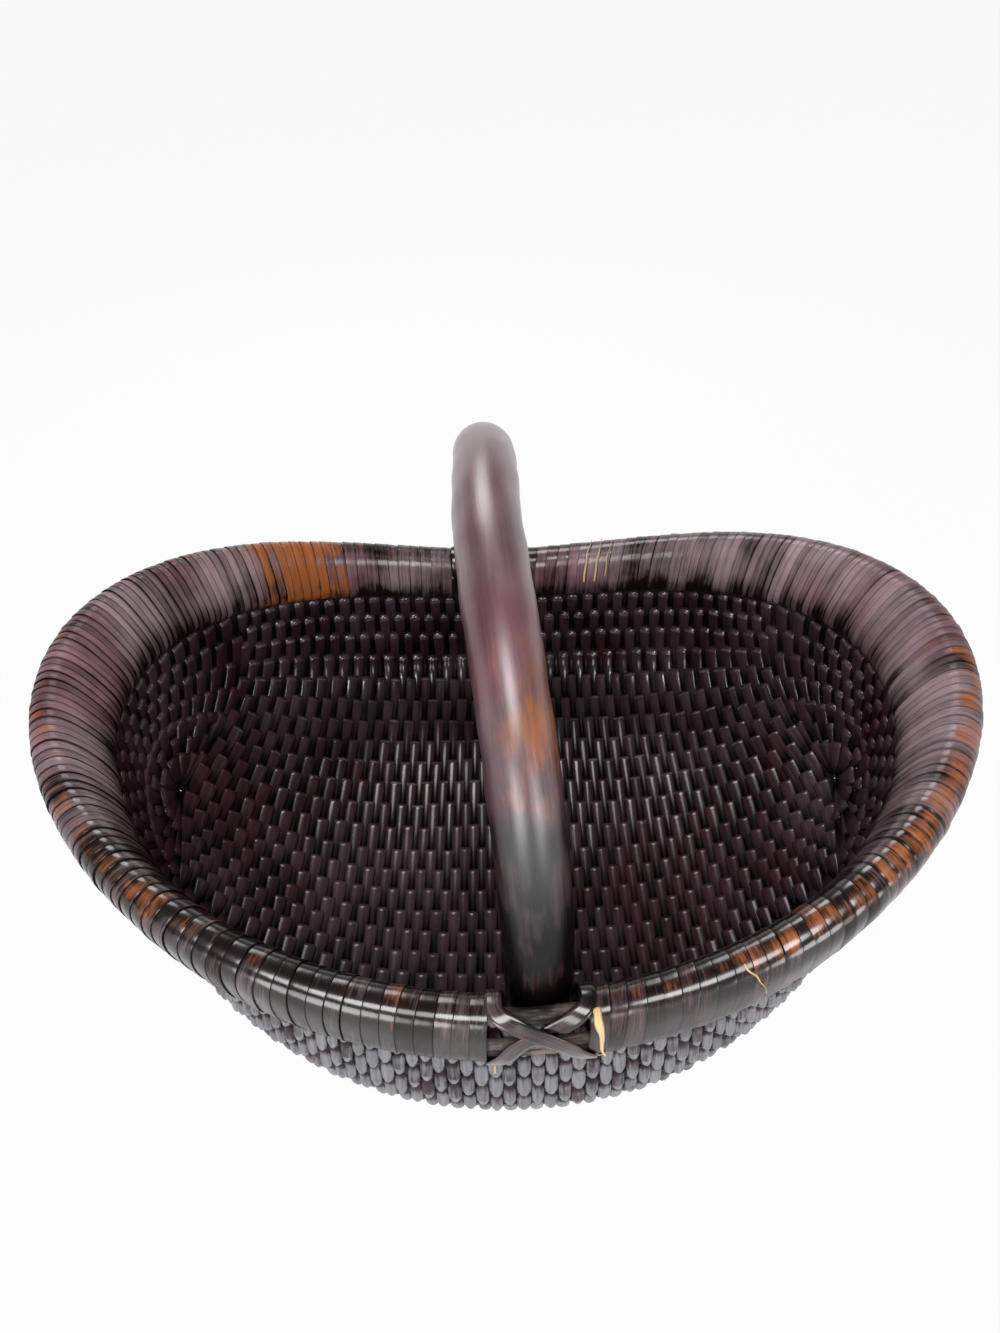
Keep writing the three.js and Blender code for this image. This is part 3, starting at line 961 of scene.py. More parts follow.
        # crests, the blunt ends: lighter in tone and in wear, partly rubbed wear and partly a painted
        # highlight
        outer_crest = bump(share, *self.outer_crest)
        inner_crest = ease * bump(share, *self.inner_crest)
        crest = mix(outer_crest[..., None], inner_crest[..., None], inside)
        tone = self.tone + self.tone_spread * rng.uniform(0.0, 1.0, each_rod)
        tone = tone + self.tone_wander.along(wanted, rng)
        # dust on the outside, which also stands in for a painted sheen of the pale floor, with a painted
        # highlight on the scales' corners and less of it, so painted shade, in the gaps and recesses
        dusty_sheen = self.dust_and_sheen + self.edge_highlight * bump(beside, 0.8, 0.12)
        dusty_sheen = dusty_sheen + self.dust_sheen_wander.along(wanted, rng)[..., None]
        dusty_sheen = dusty_sheen * (1.0 - inside) * (1.0 - 0.7 * shaded_recess) * (1.0 - 0.9 * shaded_flank)
        matte = self.front_matte * front
        shine = self.shine + self.shine_spread * rng.standard_normal(each_rod)
        shine = shine + self.shine_wander.along(wanted, rng)
        shine = (1.0 - matte) * np.clip(shine, self.least_shine, 1.0)
        # painted light: lighter where a rod leans out into the basket
        tone = tone + self.matte_light * matte + self.lean_painted_light * smooth(lean, 0.0, 0.9)
        glossy = mix(self.outer_shine * (1.0 - shaded_flank), 1.0, inside)
        # the wear value carries rubbed wear, dust, the painted sheen and the painted highlights
        return {
            "tone": tone[..., None] - self.recess_shade * shaded_recess + self.crest_highlight * crest - shaded_flank,
            "wear": self.wear + dusty_sheen + self.crest_wear_and_highlight * crest,
            "gloss": shine[..., None] * (1.0 - shaded_recess) * glossy,
        }

    def rods(
        self, fine: Array, wanted: Array, turn: Array, upward: float, calm: float, lone: Amount, rng: Random
    ) -> Skin:
        """Rods along lines of the wall: line + normal * swing * slanted wave, lapping over one another.

        Args:
            fine: lines on the wall's middle of every other rod, shape (rods, points, 3).
            wanted: lengths along the lines of the rods' points.
            turn: turns of the slanted wave there.
            upward: 1 or -1, which turns the line-to-line cross product into the basket.
            calm: share of the full lean on the inside.
            lone: how many rods' room each has.
            rng: seeded source of the small differences.

        Returns:
            The rods as one skin.
        """
        plain = walk(fine, wanted)
        forward = unit(np.gradient(plain, axis=1))
        sideways = 0.5 * np.gradient(plain, axis=0)
        sideways -= forward * np.sum(sideways * forward, axis=-1, keepdims=True)
        spacing = np.linalg.norm(sideways, axis=-1) * lone
        inward = unit(np.cross(sideways, forward)) * upward
        size = np.clip(spacing / self.middle_gap, self.least_size, 1.0)
        moved = size * self.row_wander.along(wanted, rng)
        path = walk(fine, np.clip(wanted + moved, 0.0, run_lengths(fine)[:, -1:]))
        lean = self.lean_at(turn)
        calmed = smooth(plain[..., 1], self.front_calm_from, self.front_calm_to)
        ease = calm * mix(1.0, self.front_calm, calmed)
        inner = self.inner_face + self.inner_swing * ease * lean
        inner = inner * (1.0 + self.inner_wander.along(wanted, rng))
        outer = self.outer_face - self.outer_swing * lean
        outer = outer * (1.0 + self.outer_wander.along(wanted, rng))
        lateral = spacing * self.side_wander.along(wanted, rng)
        line = path + inward * (0.5 * size * (inner - outer))[..., None]
        line = line + unit(sideways) * lateral[..., None]
        pinched = 1.0 - smooth(np.mod(turn, 1.0), 0.0, self.end_pinch_turns)
        width = self.rod_cover * np.clip(spacing, *self.rod_room) * (1.0 - self.end_pinch * pinched**2)
        width = width * (1.0 + self.width_wander.along(wanted, rng))
        front = smooth(plain[..., 1], self.front_matte_from, self.front_matte_to)
        values = self.paint(wanted, turn, ease, front, rng)
        height = np.sin(ring_angles(self.rod_sides))
        power = np.where(height > 0.0, self.inner_power, self.outer_power)
        full = 1.0 - 0.5 * (1.0 - lean) ** 2
        flare = np.where(height > 0.0, full[..., None] * self.inner_flare, self.outer_taper) * height
        thick = 0.5 * size * (inner + outer)
        skin = swept(line, inward, width, thick, self.rod_sides, values, power=power, flare=flare)
        skin.points[:, 2] = np.maximum(skin.points[:, 2], self.ground)
        return skin

    def middle_field(self, parity: int) -> Skin:
        """Every other rod from the front rim under the floor to the back rim.

        Args:
            parity: 0 for the even rods, 1 for the odd ones.

        Returns:
            The rods as one skin.
        """
        rng = np.random.default_rng(self.seed + 10 * parity)
        early = 0.5 * parity
        front_lip, spine, back_lip = self.fine_steps * np.arange(1, 4)
        number = np.arange(parity, self.middle_rods, 2)[:, None]
        climb = np.linspace(-2.0, 2.0, 4 * self.fine_steps + 1)[None]
        front = self.length_of(number, -climb)
        back = self.length_of(2 * self.middle_rods + self.fan_rods - 1 - number, climb)
        fine = self.wall.middle(np.where(climb < 0.0, front, back), np.abs(climb))
        fine[:, spine] = 0.5 * (fine[:, spine - 1] + fine[:, spine + 1])
        fine = self.eased(fine, climb)
        lengths = run_lengths(fine)
        to_spine = lengths[:, [spine]]
        to_front_lip = to_spine - lengths[:, [front_lip]]
        to_back_lip = lengths[:, [back_lip]] - to_spine
        before = self.turns(early, self.front_leans, self.front_turned)
        after = self.turns(early, self.leans)
        forth = to_spine - self.reach(before, self.front_leans, to_front_lip, to_spine, self.front_crowding)
        along = to_spine + self.reach(after, self.leans, to_back_lip, lengths[:, -1:] - to_spine)
        wanted = np.concatenate([forth[:, :0:-1], along], axis=1)
        phase = before[:, :0:-1] + early
        phase = np.where(phase < self.front_turned, -phase, phase)
        turns = np.concatenate([phase, after + early], axis=1)
        return self.rods(fine, wanted, np.broadcast_to(turns, wanted.shape), 1.0, 1.0, 1.0, rng)

    def eased(self, fine: Array, climb: Array) -> Array:
        """Lines with the bend at the spine rounded: near it each point goes to the mean of its neighbours.

        Args:
            fine: lines of points, shape (rods, points, 3).
            climb: how far up the wall the points are, 0 at the spine.

        Returns:
            The rounded lines.
        """
        reach = self.spine_ease
        window = 2 * reach + 1
        total = np.cumsum(np.pad(fine, ((0, 0), (reach + 1, reach), (0, 0)), mode="edge"), axis=1)
        mean = (total[:, window:] - total[:, :-window]) / window
        return mix(fine, mean, bump(climb, 0.0, self.spine_ease_climb)[..., None])

    def fan(self, first: int, seed: int) -> Skin:
        """The rods of one end, which spread from the end of the spine; near it every other one is left out.

        Args:
            first: number of the fan's first rod in the ring of rods.
            seed: for its small differences.

        Returns:
            The fan as one skin.
        """
        rng = np.random.default_rng(seed)
        climb = np.linspace(0.0, 2.0, 2 * self.fine_steps + 1)[None]
        skins = []
        for parity in (0, 1):
            early = 0.5 * parity
            number = np.arange(first + (first + parity) % 2, first + self.fan_rods, 2)[:, None]
            fine = self.wall.middle(self.length_of(number, climb), climb)
            lengths = run_lengths(fine)
            phase = self.turns(early, self.fan_leans)[:, 2:] + early
            phase = phase[:, phase[0] >= self.fan_pairs * parity]
            lone = 2.0 - smooth(phase, self.fan_pairs - 0.5, self.fan_pairs + 0.5)
            late = 0.5 * (number // 2 % 2) * (1.0 - parity) * (1.0 - smooth(phase, 1.0, self.fan_pairs))
            to_lip = lengths[:, [self.fine_steps]]
            wanted = self.reach(phase + late - early, self.fan_leans, to_lip, lengths[:, -1:])
            turns = np.broadcast_to(phase, wanted.shape)
            skins.append(self.rods(fine, wanted, turns, -1.0, self.fan_calm, lone, rng))
        return Skin.joined(skins)

    def twine(self) -> Skin:
        """Flat twine, two rounds to a row: each rings the spine, inside of one rod and outside of the next.

        The distance from the wall's middle is depth - swing * cos(pi * (rod number + row number)).

        Returns:
            The rounds as one skin.
        """
        rng = np.random.default_rng(self.seed + 7)
        number = np.arange(2 * self.corner_numbers[-1]) / 2.0
        climb = np.linspace(0.0, self.twine_top, round(self.twine_top * self.fine_steps) + 1)[None]
        sheet = self.wall.middle(self.length_of(number[:, None], climb), climb)
        forward = unit(np.gradient(sheet, axis=1))
        inward = unit(np.cross(forward, np.roll(sheet, -1, axis=0) - np.roll(sheet, 1, axis=0)))
        lane = np.arange(2 * self.rows)
        share = run_lengths(sheet)[:, [self.fine_steps]] / len(lane)
        reach = (lane[None] + 0.5) * share
        normal = walk(sheet, reach, inward).transpose(1, 0, 2)
        swing = self.twine_depth - self.twine_swing * np.cos(np.pi * (number[None] + lane[:, None] // 2))
        path = walk(sheet, reach).transpose(1, 0, 2) + normal * swing[..., None]
        half_width = self.twine_cover * share.T
        values = {"tone": rng.uniform(0.0, 0.6, (len(lane), 1)), "wear": 0.15, "gloss": 0.2}
        return swept(path, normal, half_width, self.twine_half_depth, self.twine_sides, values, closed=True)

    def dress(self, rods: Material, twine: Material) -> None:
        """Makes the woven pieces.

        Args:
            rods: finish of the rods.
            twine: finish of the twine.
        """
        panels = [f"woven_middle_{name}" for name in ("far_left", "left", "right", "far_right")]
        self.middle_field(0).to_object("middle_rods_even", rods, Slot.WEAVE, panels)
        self.middle_field(1).to_object("middle_rods_odd", rods, Slot.WEAVE)
        starts = {"right": self.middle_rods, "left": 2 * self.middle_rods + self.fan_rods}
        for number, (name, first) in enumerate(starts.items(), start=1):
            fan = self.fan(first, self.seed + number)
            fan.to_object(f"{name}_end_rods", rods, Slot.WEAVE, [f"woven_{name}_end"])
        self.twine().to_object("twine_rows", twine, Slot.WEAVE)


@dataclass
class Hoops:
    """Three bare hoop rods along the rim and the filling rods on its inner side."""

    rim: RimLine
    feet: tuple[Foot, Foot]
    half_wall: float = 3.8 * MM
    snug: float = 0.4 * MM
    top_radius: float = 4.3 * MM
    top_share: float = 0.9
    top_sink: float = 0.75
    middle_radius: float = 2.9 * MM
    middle_share: float = -0.12
    low_radius: float = 2.6 * MM
    low_share: float = -0.52
    core: float = 1.7 * MM
    steps: int = 420
    hoop_sides: int = 10
    out_wander: Wander = Wander(0.25 * MM, (1 / 9, 1 / 17))
    radius_wander: Wander = Wander(0.05, (1 / 23, 1 / 41))
    tone_wander: Wander = Wander(0.3, (1 / 13,))
    pad_start: float = 18.5 * MM
    pad_out: tuple[float, ...] = (-6.9 * MM, -7.3 * MM, -7.0 * MM, -6.6 * MM)
    pad_share: tuple[float, ...] = (0.52, 0.16, -0.2, -0.54)
    pad_radius: tuple[float, ...] = (2.9 * MM, 3.3 * MM, 3.3 * MM, 2.9 * MM)
    pad_taper: float = 60 * MM
    pad_tip: float = 0.6
    pad_tip_out: float = 0.85
    pad_steps: int = 260
    pad_sides: int = 8
    seed: int = 31

    def ring(self, radius: float, out: float, share: float, drop: float, seed: int) -> Skin:
        """A hoop rod: the rim's centre line moved out and up its section, with a slow wander.

        Args:
            radius: the rod's radius.
            out: distance outwards from the wall's middle.
            share: share of the half height to go up.
            drop: distance to come down from there.
            seed: for the wander.

        Returns:
            A closed ring.
        """
        rng = np.random.default_rng(seed)
        turn = np.linspace(0.0, 1.0, self.steps, endpoint=False)[None]
        section = self.rim.section(turn * self.rim.round)
        path = section.point(out + self.out_wander.along(turn, rng), share * section.half_tall - drop)
        swell = radius * (1.0 + self.radius_wander.along(turn, rng))
        values = {"tone": 0.5 + self.tone_wander.along(turn, rng), "wear": 0.5, "gloss": 0.3}
        return swept(path, section.tall, swell, swell, self.hoop_sides, values, closed=True)

    def filling(self, start: float, stop: float, seed: int) -> Skin:
        """Filling rods inside the rim from foot to foot, thin at their ends.

        Args:
            start: length along the rim where they start.
            stop: length where they end.
            seed: for their small differences.

        Returns:
            The bundle as one skin.
        """
        rng = np.random.default_rng(seed)
        out, share, radius = (np.array(v)[:, None] for v in (self.pad_out, self.pad_share, self.pad_radius))
        length = np.broadcast_to(np.linspace(start, stop, self.pad_steps), (len(out), self.pad_steps))
        section = self.rim.section(length)
        full = smooth(np.minimum(length - start, stop - length), 0.0, self.pad_taper)
        path = section.point(out * mix(self.pad_tip_out, 1.0, full), share * section.half_tall)
        swell = radius * mix(self.pad_tip, 1.0, full)
        values = {"tone": rng.uniform(0.0, 0.6, (len(out), 1)), "wear": 0.3, "gloss": 0.0}
        return swept(path, section.tall, swell, swell, self.pad_sides, values)

    def dress(self, finish: Material) -> None:
        """Makes the hoops and the filling.

        Args:
            finish: their finish.
        """
        top, middle, low = self.top_radius, self.middle_radius, self.low_radius
        beside = self.half_wall + self.snug
        sunk = self.top_share * self.core + self.top_sink * top + self.snug
        rings = {
            "top": (top, top - self.half_wall + self.snug, self.top_share, sunk),
            "middle": (middle, beside + middle, self.middle_share, 0.0),
            "low": (low, beside + low, self.low_share, 0.0),
        }
        for number, (name, (radius, out, share, drop)) in enumerate(rings.items()):
            hoop = self.ring(radius, out, share, drop, self.seed + number)
            hoop.to_object(f"hoop_{name}", finish, Slot.ROD, [f"hoop_rod_{name}"])
        for number, (name, (start, stop)) in enumerate(self.rim.sides(self.feet).items()):
            bundle = self.filling(start + self.pad_start, stop - self.pad_start, self.seed + 5 + number)
            bundle.to_object(f"filling_rods_{name}", finish, Slot.ROD, [f"rim_pad_{name}"])


@dataclass(frozen=True)
class Patch:
    """A rubbed place on the rim: its x and reach in x, and the y where it begins and where it is full."""

    x: float
    reach: float
    begins: float
    full: float

    def share(self, centre: Array) -> Array:
        """1 in the middle of the patch, less towards its edges."""
        return bump(centre[..., 0], self.x, self.reach) * smooth(centre[..., 1], self.begins, self.full)


@dataclass
class Winding:
    """Cross lines of a wound strip: the turn, rim length, angle and section at each."""

    turns: int
    turn: Array
    centre: Array
    angle: Array
    section: Section

    def __post_init__(self) -> None:
        """Works out which whole turn each cross line is in."""
        self.whole = np.minimum(np.floor(self.turn), self.turns - 1).astype(int)

    def normal(self, rng: Random) -> Array:
        """A normal random number for each whole turn, at the cross lines."""
        return rng.standard_normal(self.turns + 1)[self.whole]

    def even(self, low: float, high: float, rng: Random) -> Array:
        """An even random number for each whole turn, at the cross lines."""
        return rng.uniform(low, high, self.turns + 1)[self.whole]


@dataclass
class RimBinding:
    """Flat strips wound round the rim, each turn lying a little over the next.

    A strip's edge follows length = start + pitch * turns while the angle goes round once for each turn.
    """

    rim: RimLine
    feet: tuple[Foot, Foot]
    foot_gap: float = 24.5 * MM
    pitch: float = 8.6 * MM
    end_pitch: float = 5.4 * MM
    lap: float = 0.9 * MM
    arch: float = 0.3 * MM
    uneven: float = 0.1 * MM
    tilt: float = 0.2 * MM
    tuck: float = 2.0 * MM
    tuck_turns: float = 0.2
    across: tuple[float, ...] = (-0.57, -0.56, -0.51, -0.2, 0.2, 0.49, 0.545, 0.56, 0.5, -0.45)
    height: tuple[float, ...] = (-0.3, -0.05, 0.03, 0.16, 0.36, 0.5, 0.49, 0.3, -0.8, -0.9)
    middle_line: int = 3
    edge_wander: Wander = Wander(0.07, (1.37, 2.9, 0.83))
    lay_wander: Wander = Wander(0.08 * MM, (0.61, 1.9))
    tone_wander: Wander = Wander(0.15, (0.7, 3.1))
    front_from: float = -60 * MM
    front_to: float = -150 * MM
    rubbed: Patch = Patch(-153 * MM, 31 * MM, 60 * MM, 110 * MM)
    copper_right: Patch = Patch(190 * MM, 70 * MM, 60 * MM, -60 * MM)
    copper_left: Patch = Patch(-190 * MM, 60 * MM, 0.0, -80 * MM)
    copper_left_share: float = 0.6
    wear: float = 0.18
    crown_wear: float = 0.12
    copper_wear: float = 0.14
    rubbed_wear: float = 0.55
    turn_wear: float = 0.05
    end_wear: float = 0.1
    front_wear: float = 0.07
    edge_unworn: float = 0.6
    back_tones: tuple[float, float] = (-0.5, 0.5)
    front_tones: tuple[float, float] = (-1.1, -0.5)
    # lighter inner side: partly a paler colour, partly a painted sheen
    inner_pale_and_sheen: float = 0.4
    end_light: float = 0.45
    # painted shade on the lower side of the section
    below_shade: float = 0.9
    edge_dark: float = 1.6
    polish: float = 0.85
    polish_spread: float = 0.25
    least_polish: float = 0.2
    back_polish: float = 0.75
    end_polish: float = 0.15
    below_polish: float = 0.25
    grain_shift: float = 13.7 * MM
    samples: int = 1500
    steps_per_turn: int = 30
    strips: int = 10
    seed: int = 51

    def pitch_at(self, section: Section) -> Array:
        """Length of rim that a turn takes up, less towards the ends."""
        return mix(self.pitch, self.end_pitch, smooth(section.near_end, 0.1, 0.75))

    def wind(self, start: float, stop: float) -> Winding:
        """Turns of one side: the turn at a length is the sum of 1 / pitch up to it, made a whole number.

        Args:
            start: length along the rim of the first turn.
            stop: length of the last turn.

        Returns:
            The cross lines from start to stop.
        """
        fine = np.linspace(start, stop, self.samples)
        rate = 1.0 / self.pitch_at(self.rim.section(fine))
        table = np.concatenate([[0.0], np.cumsum(0.5 * (rate[1:] + rate[:-1]) * np.diff(fine))])
        turns = int(table[-1])
        turn = np.arange(turns * self.steps_per_turn + 1) / self.steps_per_turn
        centre = np.interp(turn * table[-1] / turns, table, fine)
        return Winding(turns, turn, centre, math.tau * turn - np.pi / 2.0, self.rim.section(centre))

    def paint(self, winding: Winding, rng: Random) -> Values:
        """Values of the strip: worn on the crown, darker and glossier in front, dull and pale at the ends,
        lighter on the inner side with a painted sheen and darker below with painted shade.

        Args:
            winding: the strip's cross lines.
            rng: seeded source of the differences from turn to turn.

        Returns:
            Tone, wear and gloss, in the shape (cross lines, points).
        """
        centre, near_end = winding.section.centre, winding.section.near_end
        out, high = np.cos(winding.angle), np.sin(winding.angle)
        front = smooth(centre[:, 1], self.front_from, self.front_to)
        end = smooth(near_end, 0.3, 0.8)
        crown = bump(np.mod(winding.angle + np.pi / 2.0, math.tau) - np.pi, 0.0, 0.55)
        copper = self.copper_right.share(centre) + self.copper_left_share * self.copper_left.share(centre)
        wear = self.wear + self.crown_wear * crown + self.copper_wear * crown * np.minimum(copper, 1.0)
        wear += self.rubbed_wear * self.rubbed.share(centre)
        wear += self.turn_wear * winding.normal(rng) + self.end_wear * end + self.front_wear * front
        tone = mix(winding.even(*self.back_tones, rng), winding.even(*self.front_tones, rng), front)
        tone += self.tone_wander.along(winding.turn[None], rng)[0]
        # the inner side away from the front is lighter: partly a paler, dusty colour and partly a painted
        # sheen
        tone += self.inner_pale_and_sheen * smooth(-out, 0.1, 0.9) * (1.0 - front)
        # paler at the ends; painted shade on the lower side of the section
        tone += self.end_light * end - self.below_shade * smooth(-high, -0.1, 0.7)
        polish = mix(mix(self.back_polish, self.end_polish, near_end), 1.0, front)
        polish *= mix(self.below_polish, 1.0, smooth(high, -0.2, 0.45))
        polish *= np.clip(self.polish + self.polish_spread * winding.normal(rng), self.least_polish, 1.0)
        edge = smooth(np.abs(self.across) + 0.02 * smooth(near_end, 0.15, 0.6)[:, None], 0.5, 0.56)
        return {
            "tone": tone[:, None] - self.edge_dark * edge,
            "wear": wear[:, None] * (1.0 - self.edge_unworn * edge),
            "gloss": polish[:, None] * (1.0 - edge),
        }

    def wound(self, start: float, stop: float, seed: int) -> Skin:
        """The binding of one side, from foot to foot.

        Args:
            start: length along the rim of the first turn.
            stop: length of the last turn.
            seed: for the small differences from turn to turn.

        Returns:
            The strip as one skin.
        """
        rng = np.random.default_rng(seed)
        winding = self.wind(start, stop)
        turn, section = winding.turn, winding.section
        across, height = np.array(self.across), np.array(self.height)
        moved = self.edge_wander.along(turn[None], rng)[0]
        lay = self.uneven * winding.normal(rng) + self.lay_wander.along(turn[None], rng)[0]
        tilt = self.tilt * winding.normal(rng)
        length = winding.centre[:, None] + (across + moved[:, None]) * self.pitch_at(section)[:, None]
        tucked = 1.0 - smooth(np.minimum(turn, winding.turns - turn), 0.0, self.tuck_turns)
        rounded = (1.0 - (across / np.abs(across).max()) ** 2) * (height > -0.5)
        arched = self.arch * smooth(section.near_end, 0.15, 0.6)[:, None] * rounded
        grow = height * self.lap + tilt[:, None] * across + arched + (lay - self.tuck * tucked)[:, None]
        points, _ = self.rim.oval(length, np.broadcast_to(winding.angle[:, None], length.shape), grow)
        run = run_lengths(points[None, :, self.middle_line])[0]
        flat = [np.broadcast_to(v, length.shape) for v in (run[:, None], across * self.pitch)]
        grain = np.stack([*flat, grow + self.grain_shift * winding.whole[:, None]], axis=-1)
        values = {key: value.ravel() for key, value in self.paint(winding, rng).items()}
        index = np.arange(length.size).reshape(length.shape)
        faces = [ring_quads(index[:-1], index[1:]), index[:1, ::-1], index[-1:]]
        return Skin(points.reshape(-1, 3), faces, grain.reshape(-1, 3), values)

    def dress(self, finish: Material) -> None:
        """Makes the binding of both sides.

        Args:
            finish: the strips' finish.
        """
        for number, (name, (start, stop)) in enumerate(self.rim.sides(self.feet).items()):
            nodes = [f"binding_{name}_{strip:02d}" for strip in range(1, self.strips + 1)]
            skin = self.wound(start + self.foot_gap, stop - self.foot_gap, self.seed + number)
            skin.to_object(f"rim_binding_{name}", finish, Slot.STRIP, nodes)


@dataclass
class PoleHandle:
    """The bent pole: a squared half oval that sways a little, with a tapered tongue at each foot."""

    rim: RimLine
    feet: tuple[Foot, Foot]
    radius: float = 17.6 * MM
    top: float = 303 * MM
    squareness: float = 2.19
    top_shift: float = -6 * MM
    sway: float = 1.5
    wall_room: float = 4.2 * MM
    tongue: float = 32 * MM
    tongue_half_width: float = 9.5 * MM
    tongue_half_depth: float = 6.5 * MM
    uneven: float = 0.009
    ripples: tuple[tuple[float, float], ...] = ((0.047, 3.0), (0.029, -2.0))
    radius_wander: Wander = Wander(0.012, (0.09, 0.17, 0.31))
    tone_wander: Wander = Wander(0.12, (0.05, 0.12))
    # heights over which the tone rises from painted shade low down to a painted sheen at the top
    painted_sheen_range: tuple[float, float] = (190 * MM, 285 * MM)
    gloss_range: tuple[float, float] = (168 * MM, 218 * MM)
    grip_range: tuple[float, float] = (240 * MM, 300 * MM)
    grip_run: float = 70 * MM
    patch_range: tuple[float, float] = (150 * MM, 230 * MM)
    patch_y: float = -112 * MM
    patch_run: float = 23 * MM
    patch_turn: float = math.radians(-42.0)
    shaded_low_tone: float = -0.8
    painted_sheen_rise: float = 2.1
    wear: float = 0.27
    grip_wear: float = 0.06
    patch_wear: float = 0.34
    low_gloss: float = 0.15
    arch_steps: int = 220
    foot_steps: int = 26
    sides: int = 40
    seed: int = 71

    def foot_centre(self, foot: Foot) -> float:
        """Distance of a foot's centre from the middle of the basket."""
        centre = self.rim.section(np.array([foot.length])).centre[0]
        return float(abs(centre[1]) - self.wall_room - self.radius)

    def arch(self) -> Array:
        """Centre line y = -c cos(a)^(2/n), z = h + rise sin(a)^(2/n), x swaying from foot to top to foot.

        Returns:
            Points from the front foot to the back one.
        """
        front, back = self.feet
        angle = np.linspace(0.0, np.pi, self.arch_steps)
        power = 2.0 / self.squareness
        lengthwise = -signed_power(np.cos(angle), power)
        at_front = lengthwise < 0.0
        shift = np.where(at_front, front.shift, back.shift)
        reach = np.where(at_front, self.foot_centre(front), self.foot_centre(back))
        x = mix(self.top_shift, shift, np.abs(lengthwise) ** self.sway)
        z = mix(self.rim.height, self.top, np.sin(angle) ** power)
        return np.stack([x, reach * lengthwise, z], axis=-1)

    def foot_rings(self, foot: Foot) -> tuple[Array, Array, Array]:
        """Centres and half sizes of a foot from its tongue's tip up to the rim, flat on the outer side.

        Args:
            foot: which foot.

        Returns:
            Centres, half widths and half depths.
        """
        share = np.linspace(1.0, 0.0, self.foot_steps, endpoint=False)
        ease = smooth(share, 0.1, 1.0)
        width = mix(self.radius, self.tongue_half_width, ease)
        depth = mix(self.radius, self.tongue_half_depth, ease)
        y = foot.facing * (self.foot_centre(foot) + self.radius - depth)
        z = self.rim.height - share * (self.rim.half_tall + self.tongue)
        return np.stack([np.full_like(share, foot.shift), y, z], axis=-1), width, depth

    def dress(self, finish: Material) -> None:
        """Makes the pole, with slight flats and swellings where twigs were cut off, painted shade low on the
        legs and a painted sheen towards the top.

        Args:
            finish: the pole's finish.
        """
        rng = np.random.default_rng(self.seed)
        bend = self.arch()
        full = np.full(len(bend), self.radius)
        low, far = (self.foot_rings(foot) for foot in self.feet)
        runs = zip(low, (bend, full, full), far)
        path, width, depth = (np.concatenate([first, over, last[::-1]])[None] for first, over, last in runs)
        length = run_lengths(path)
        swell = 1.0 + self.radius_wander.along(length, rng)
        facing = np.cross(np.gradient(path, axis=1), np.array([1.0, 0.0, 0.0]))
        turn = ring_angles(self.sides)
        y, z = path[..., 1], path[..., 2]
        right = smooth(np.cos(turn - self.patch_turn), -0.3, 0.9)
        grip = bump(y, 0.0, self.grip_run) * smooth(z, *self.grip_range)
        patch = bump(y, self.patch_y, self.patch_run) * smooth(z, *self.patch_range)
        # painted shade low on the legs and a painted sheen towards the top: the tone rises with height
        tone = self.shaded_low_tone + self.painted_sheen_rise * smooth(z, *self.painted_sheen_range)
        wear = self.wear + self.grip_wear * grip[..., None] + self.patch_wear * patch[..., None] * right
        values = {
            "tone": tone + self.tone_wander.along(length, rng),
            "wear": wear,
            "gloss": mix(self.low_gloss, 1.0, smooth(z, *self.gloss_range)),
        }
        waves = [np.sin(length[..., None] * math.tau / wave + lobes * turn) for wave, lobes in self.ripples]
        flare = self.uneven * sum(waves)
        skin = swept(path, facing, width * swell, depth * swell, self.sides, values, flare=flare)
        skin.to_object("bent_pole", finish, Slot.POLE, ["handle_pole"])


@dataclass
class Lashings:
    """Two crossing flat strips at each foot, from the inner side over the crown and down the outside."""

    rim: RimLine
    feet: tuple[Foot, Foot]
    spread: float = 23 * MM
    lift: float = 2.3 * MM
    sag: float = 2.2 * MM
    rest: float = 1.3 * MM
    half_width: float = 4.6 * MM
    half_thick: float = 0.75 * MM
    first_angle: float = math.radians(205.0)
    last_angle: float = math.radians(-86.0)
    cross_from: float = math.radians(95.56)
    cross_to: float = math.radians(-35.74)
    cross_room: float = 1.5
    worn_angle: float = math.radians(80.0)
    worn_run: float = 0.6
    squareness: float = 0.55
    width_wander: Wander = Wander(0.06, (0.03, 0.07))
    tone_wander: Wander = Wander(0.25, (0.04, 0.11))
    steps: int = 90
    sides: int = 10
    seed: int = 91

    def strap(self, foot: Foot, over: bool, seed: int) -> Skin:
        """One strap: the angle runs from the inner side to the outside while it crosses the foot.

        Args:
            foot: the foot it holds.
            over: whether it lies on the other strap, and so crosses from the left.
            seed: for its small differences.

        Returns:
            The strap as one skin.
        """
        rng = np.random.default_rng(seed)
        angle = np.linspace(self.first_angle, self.last_angle, self.steps)
        across = 1.0 - 2.0 * smooth(angle, self.cross_from, self.cross_to)
        raised = (self.lift if over else 0.0) - self.sag
        grow = self.rest + raised * np.exp(-((self.cross_room * across) ** 4))
        length = foot.length + (-self.spread if over else self.spread) * across
        points, outward = self.rim.oval(length, angle, grow)
        run = run_lengths(points[None])
        width = self.half_width * (1.0 + self.width_wander.along(run, rng))
        values = {
            "tone": -0.6 + self.tone_wander.along(run, rng),
            "wear": 0.16 + 0.14 * bump(angle, self.worn_angle, self.worn_run)[None],
            "gloss": 0.9,
        }
        return swept(
            points[None], outward[None], width, self.half_thick, self.sides, values, power=self.squareness
        )

    def dress(self, finish: Material) -> None:
        """Makes the four straps.

        Args:
            finish: the strips' finish.
        """
        for number, (name, foot) in enumerate(zip(("front", "back"), self.feet)):
            for layer, over in (("under", False), ("over", True)):
                skin = self.strap(foot, over, self.seed + 2 * number + over)
                nodes = [f"lashing_{name}_{layer}"]
                skin.to_object(f"lashing_strip_{name}_{layer}", finish, Slot.STRIP, nodes)


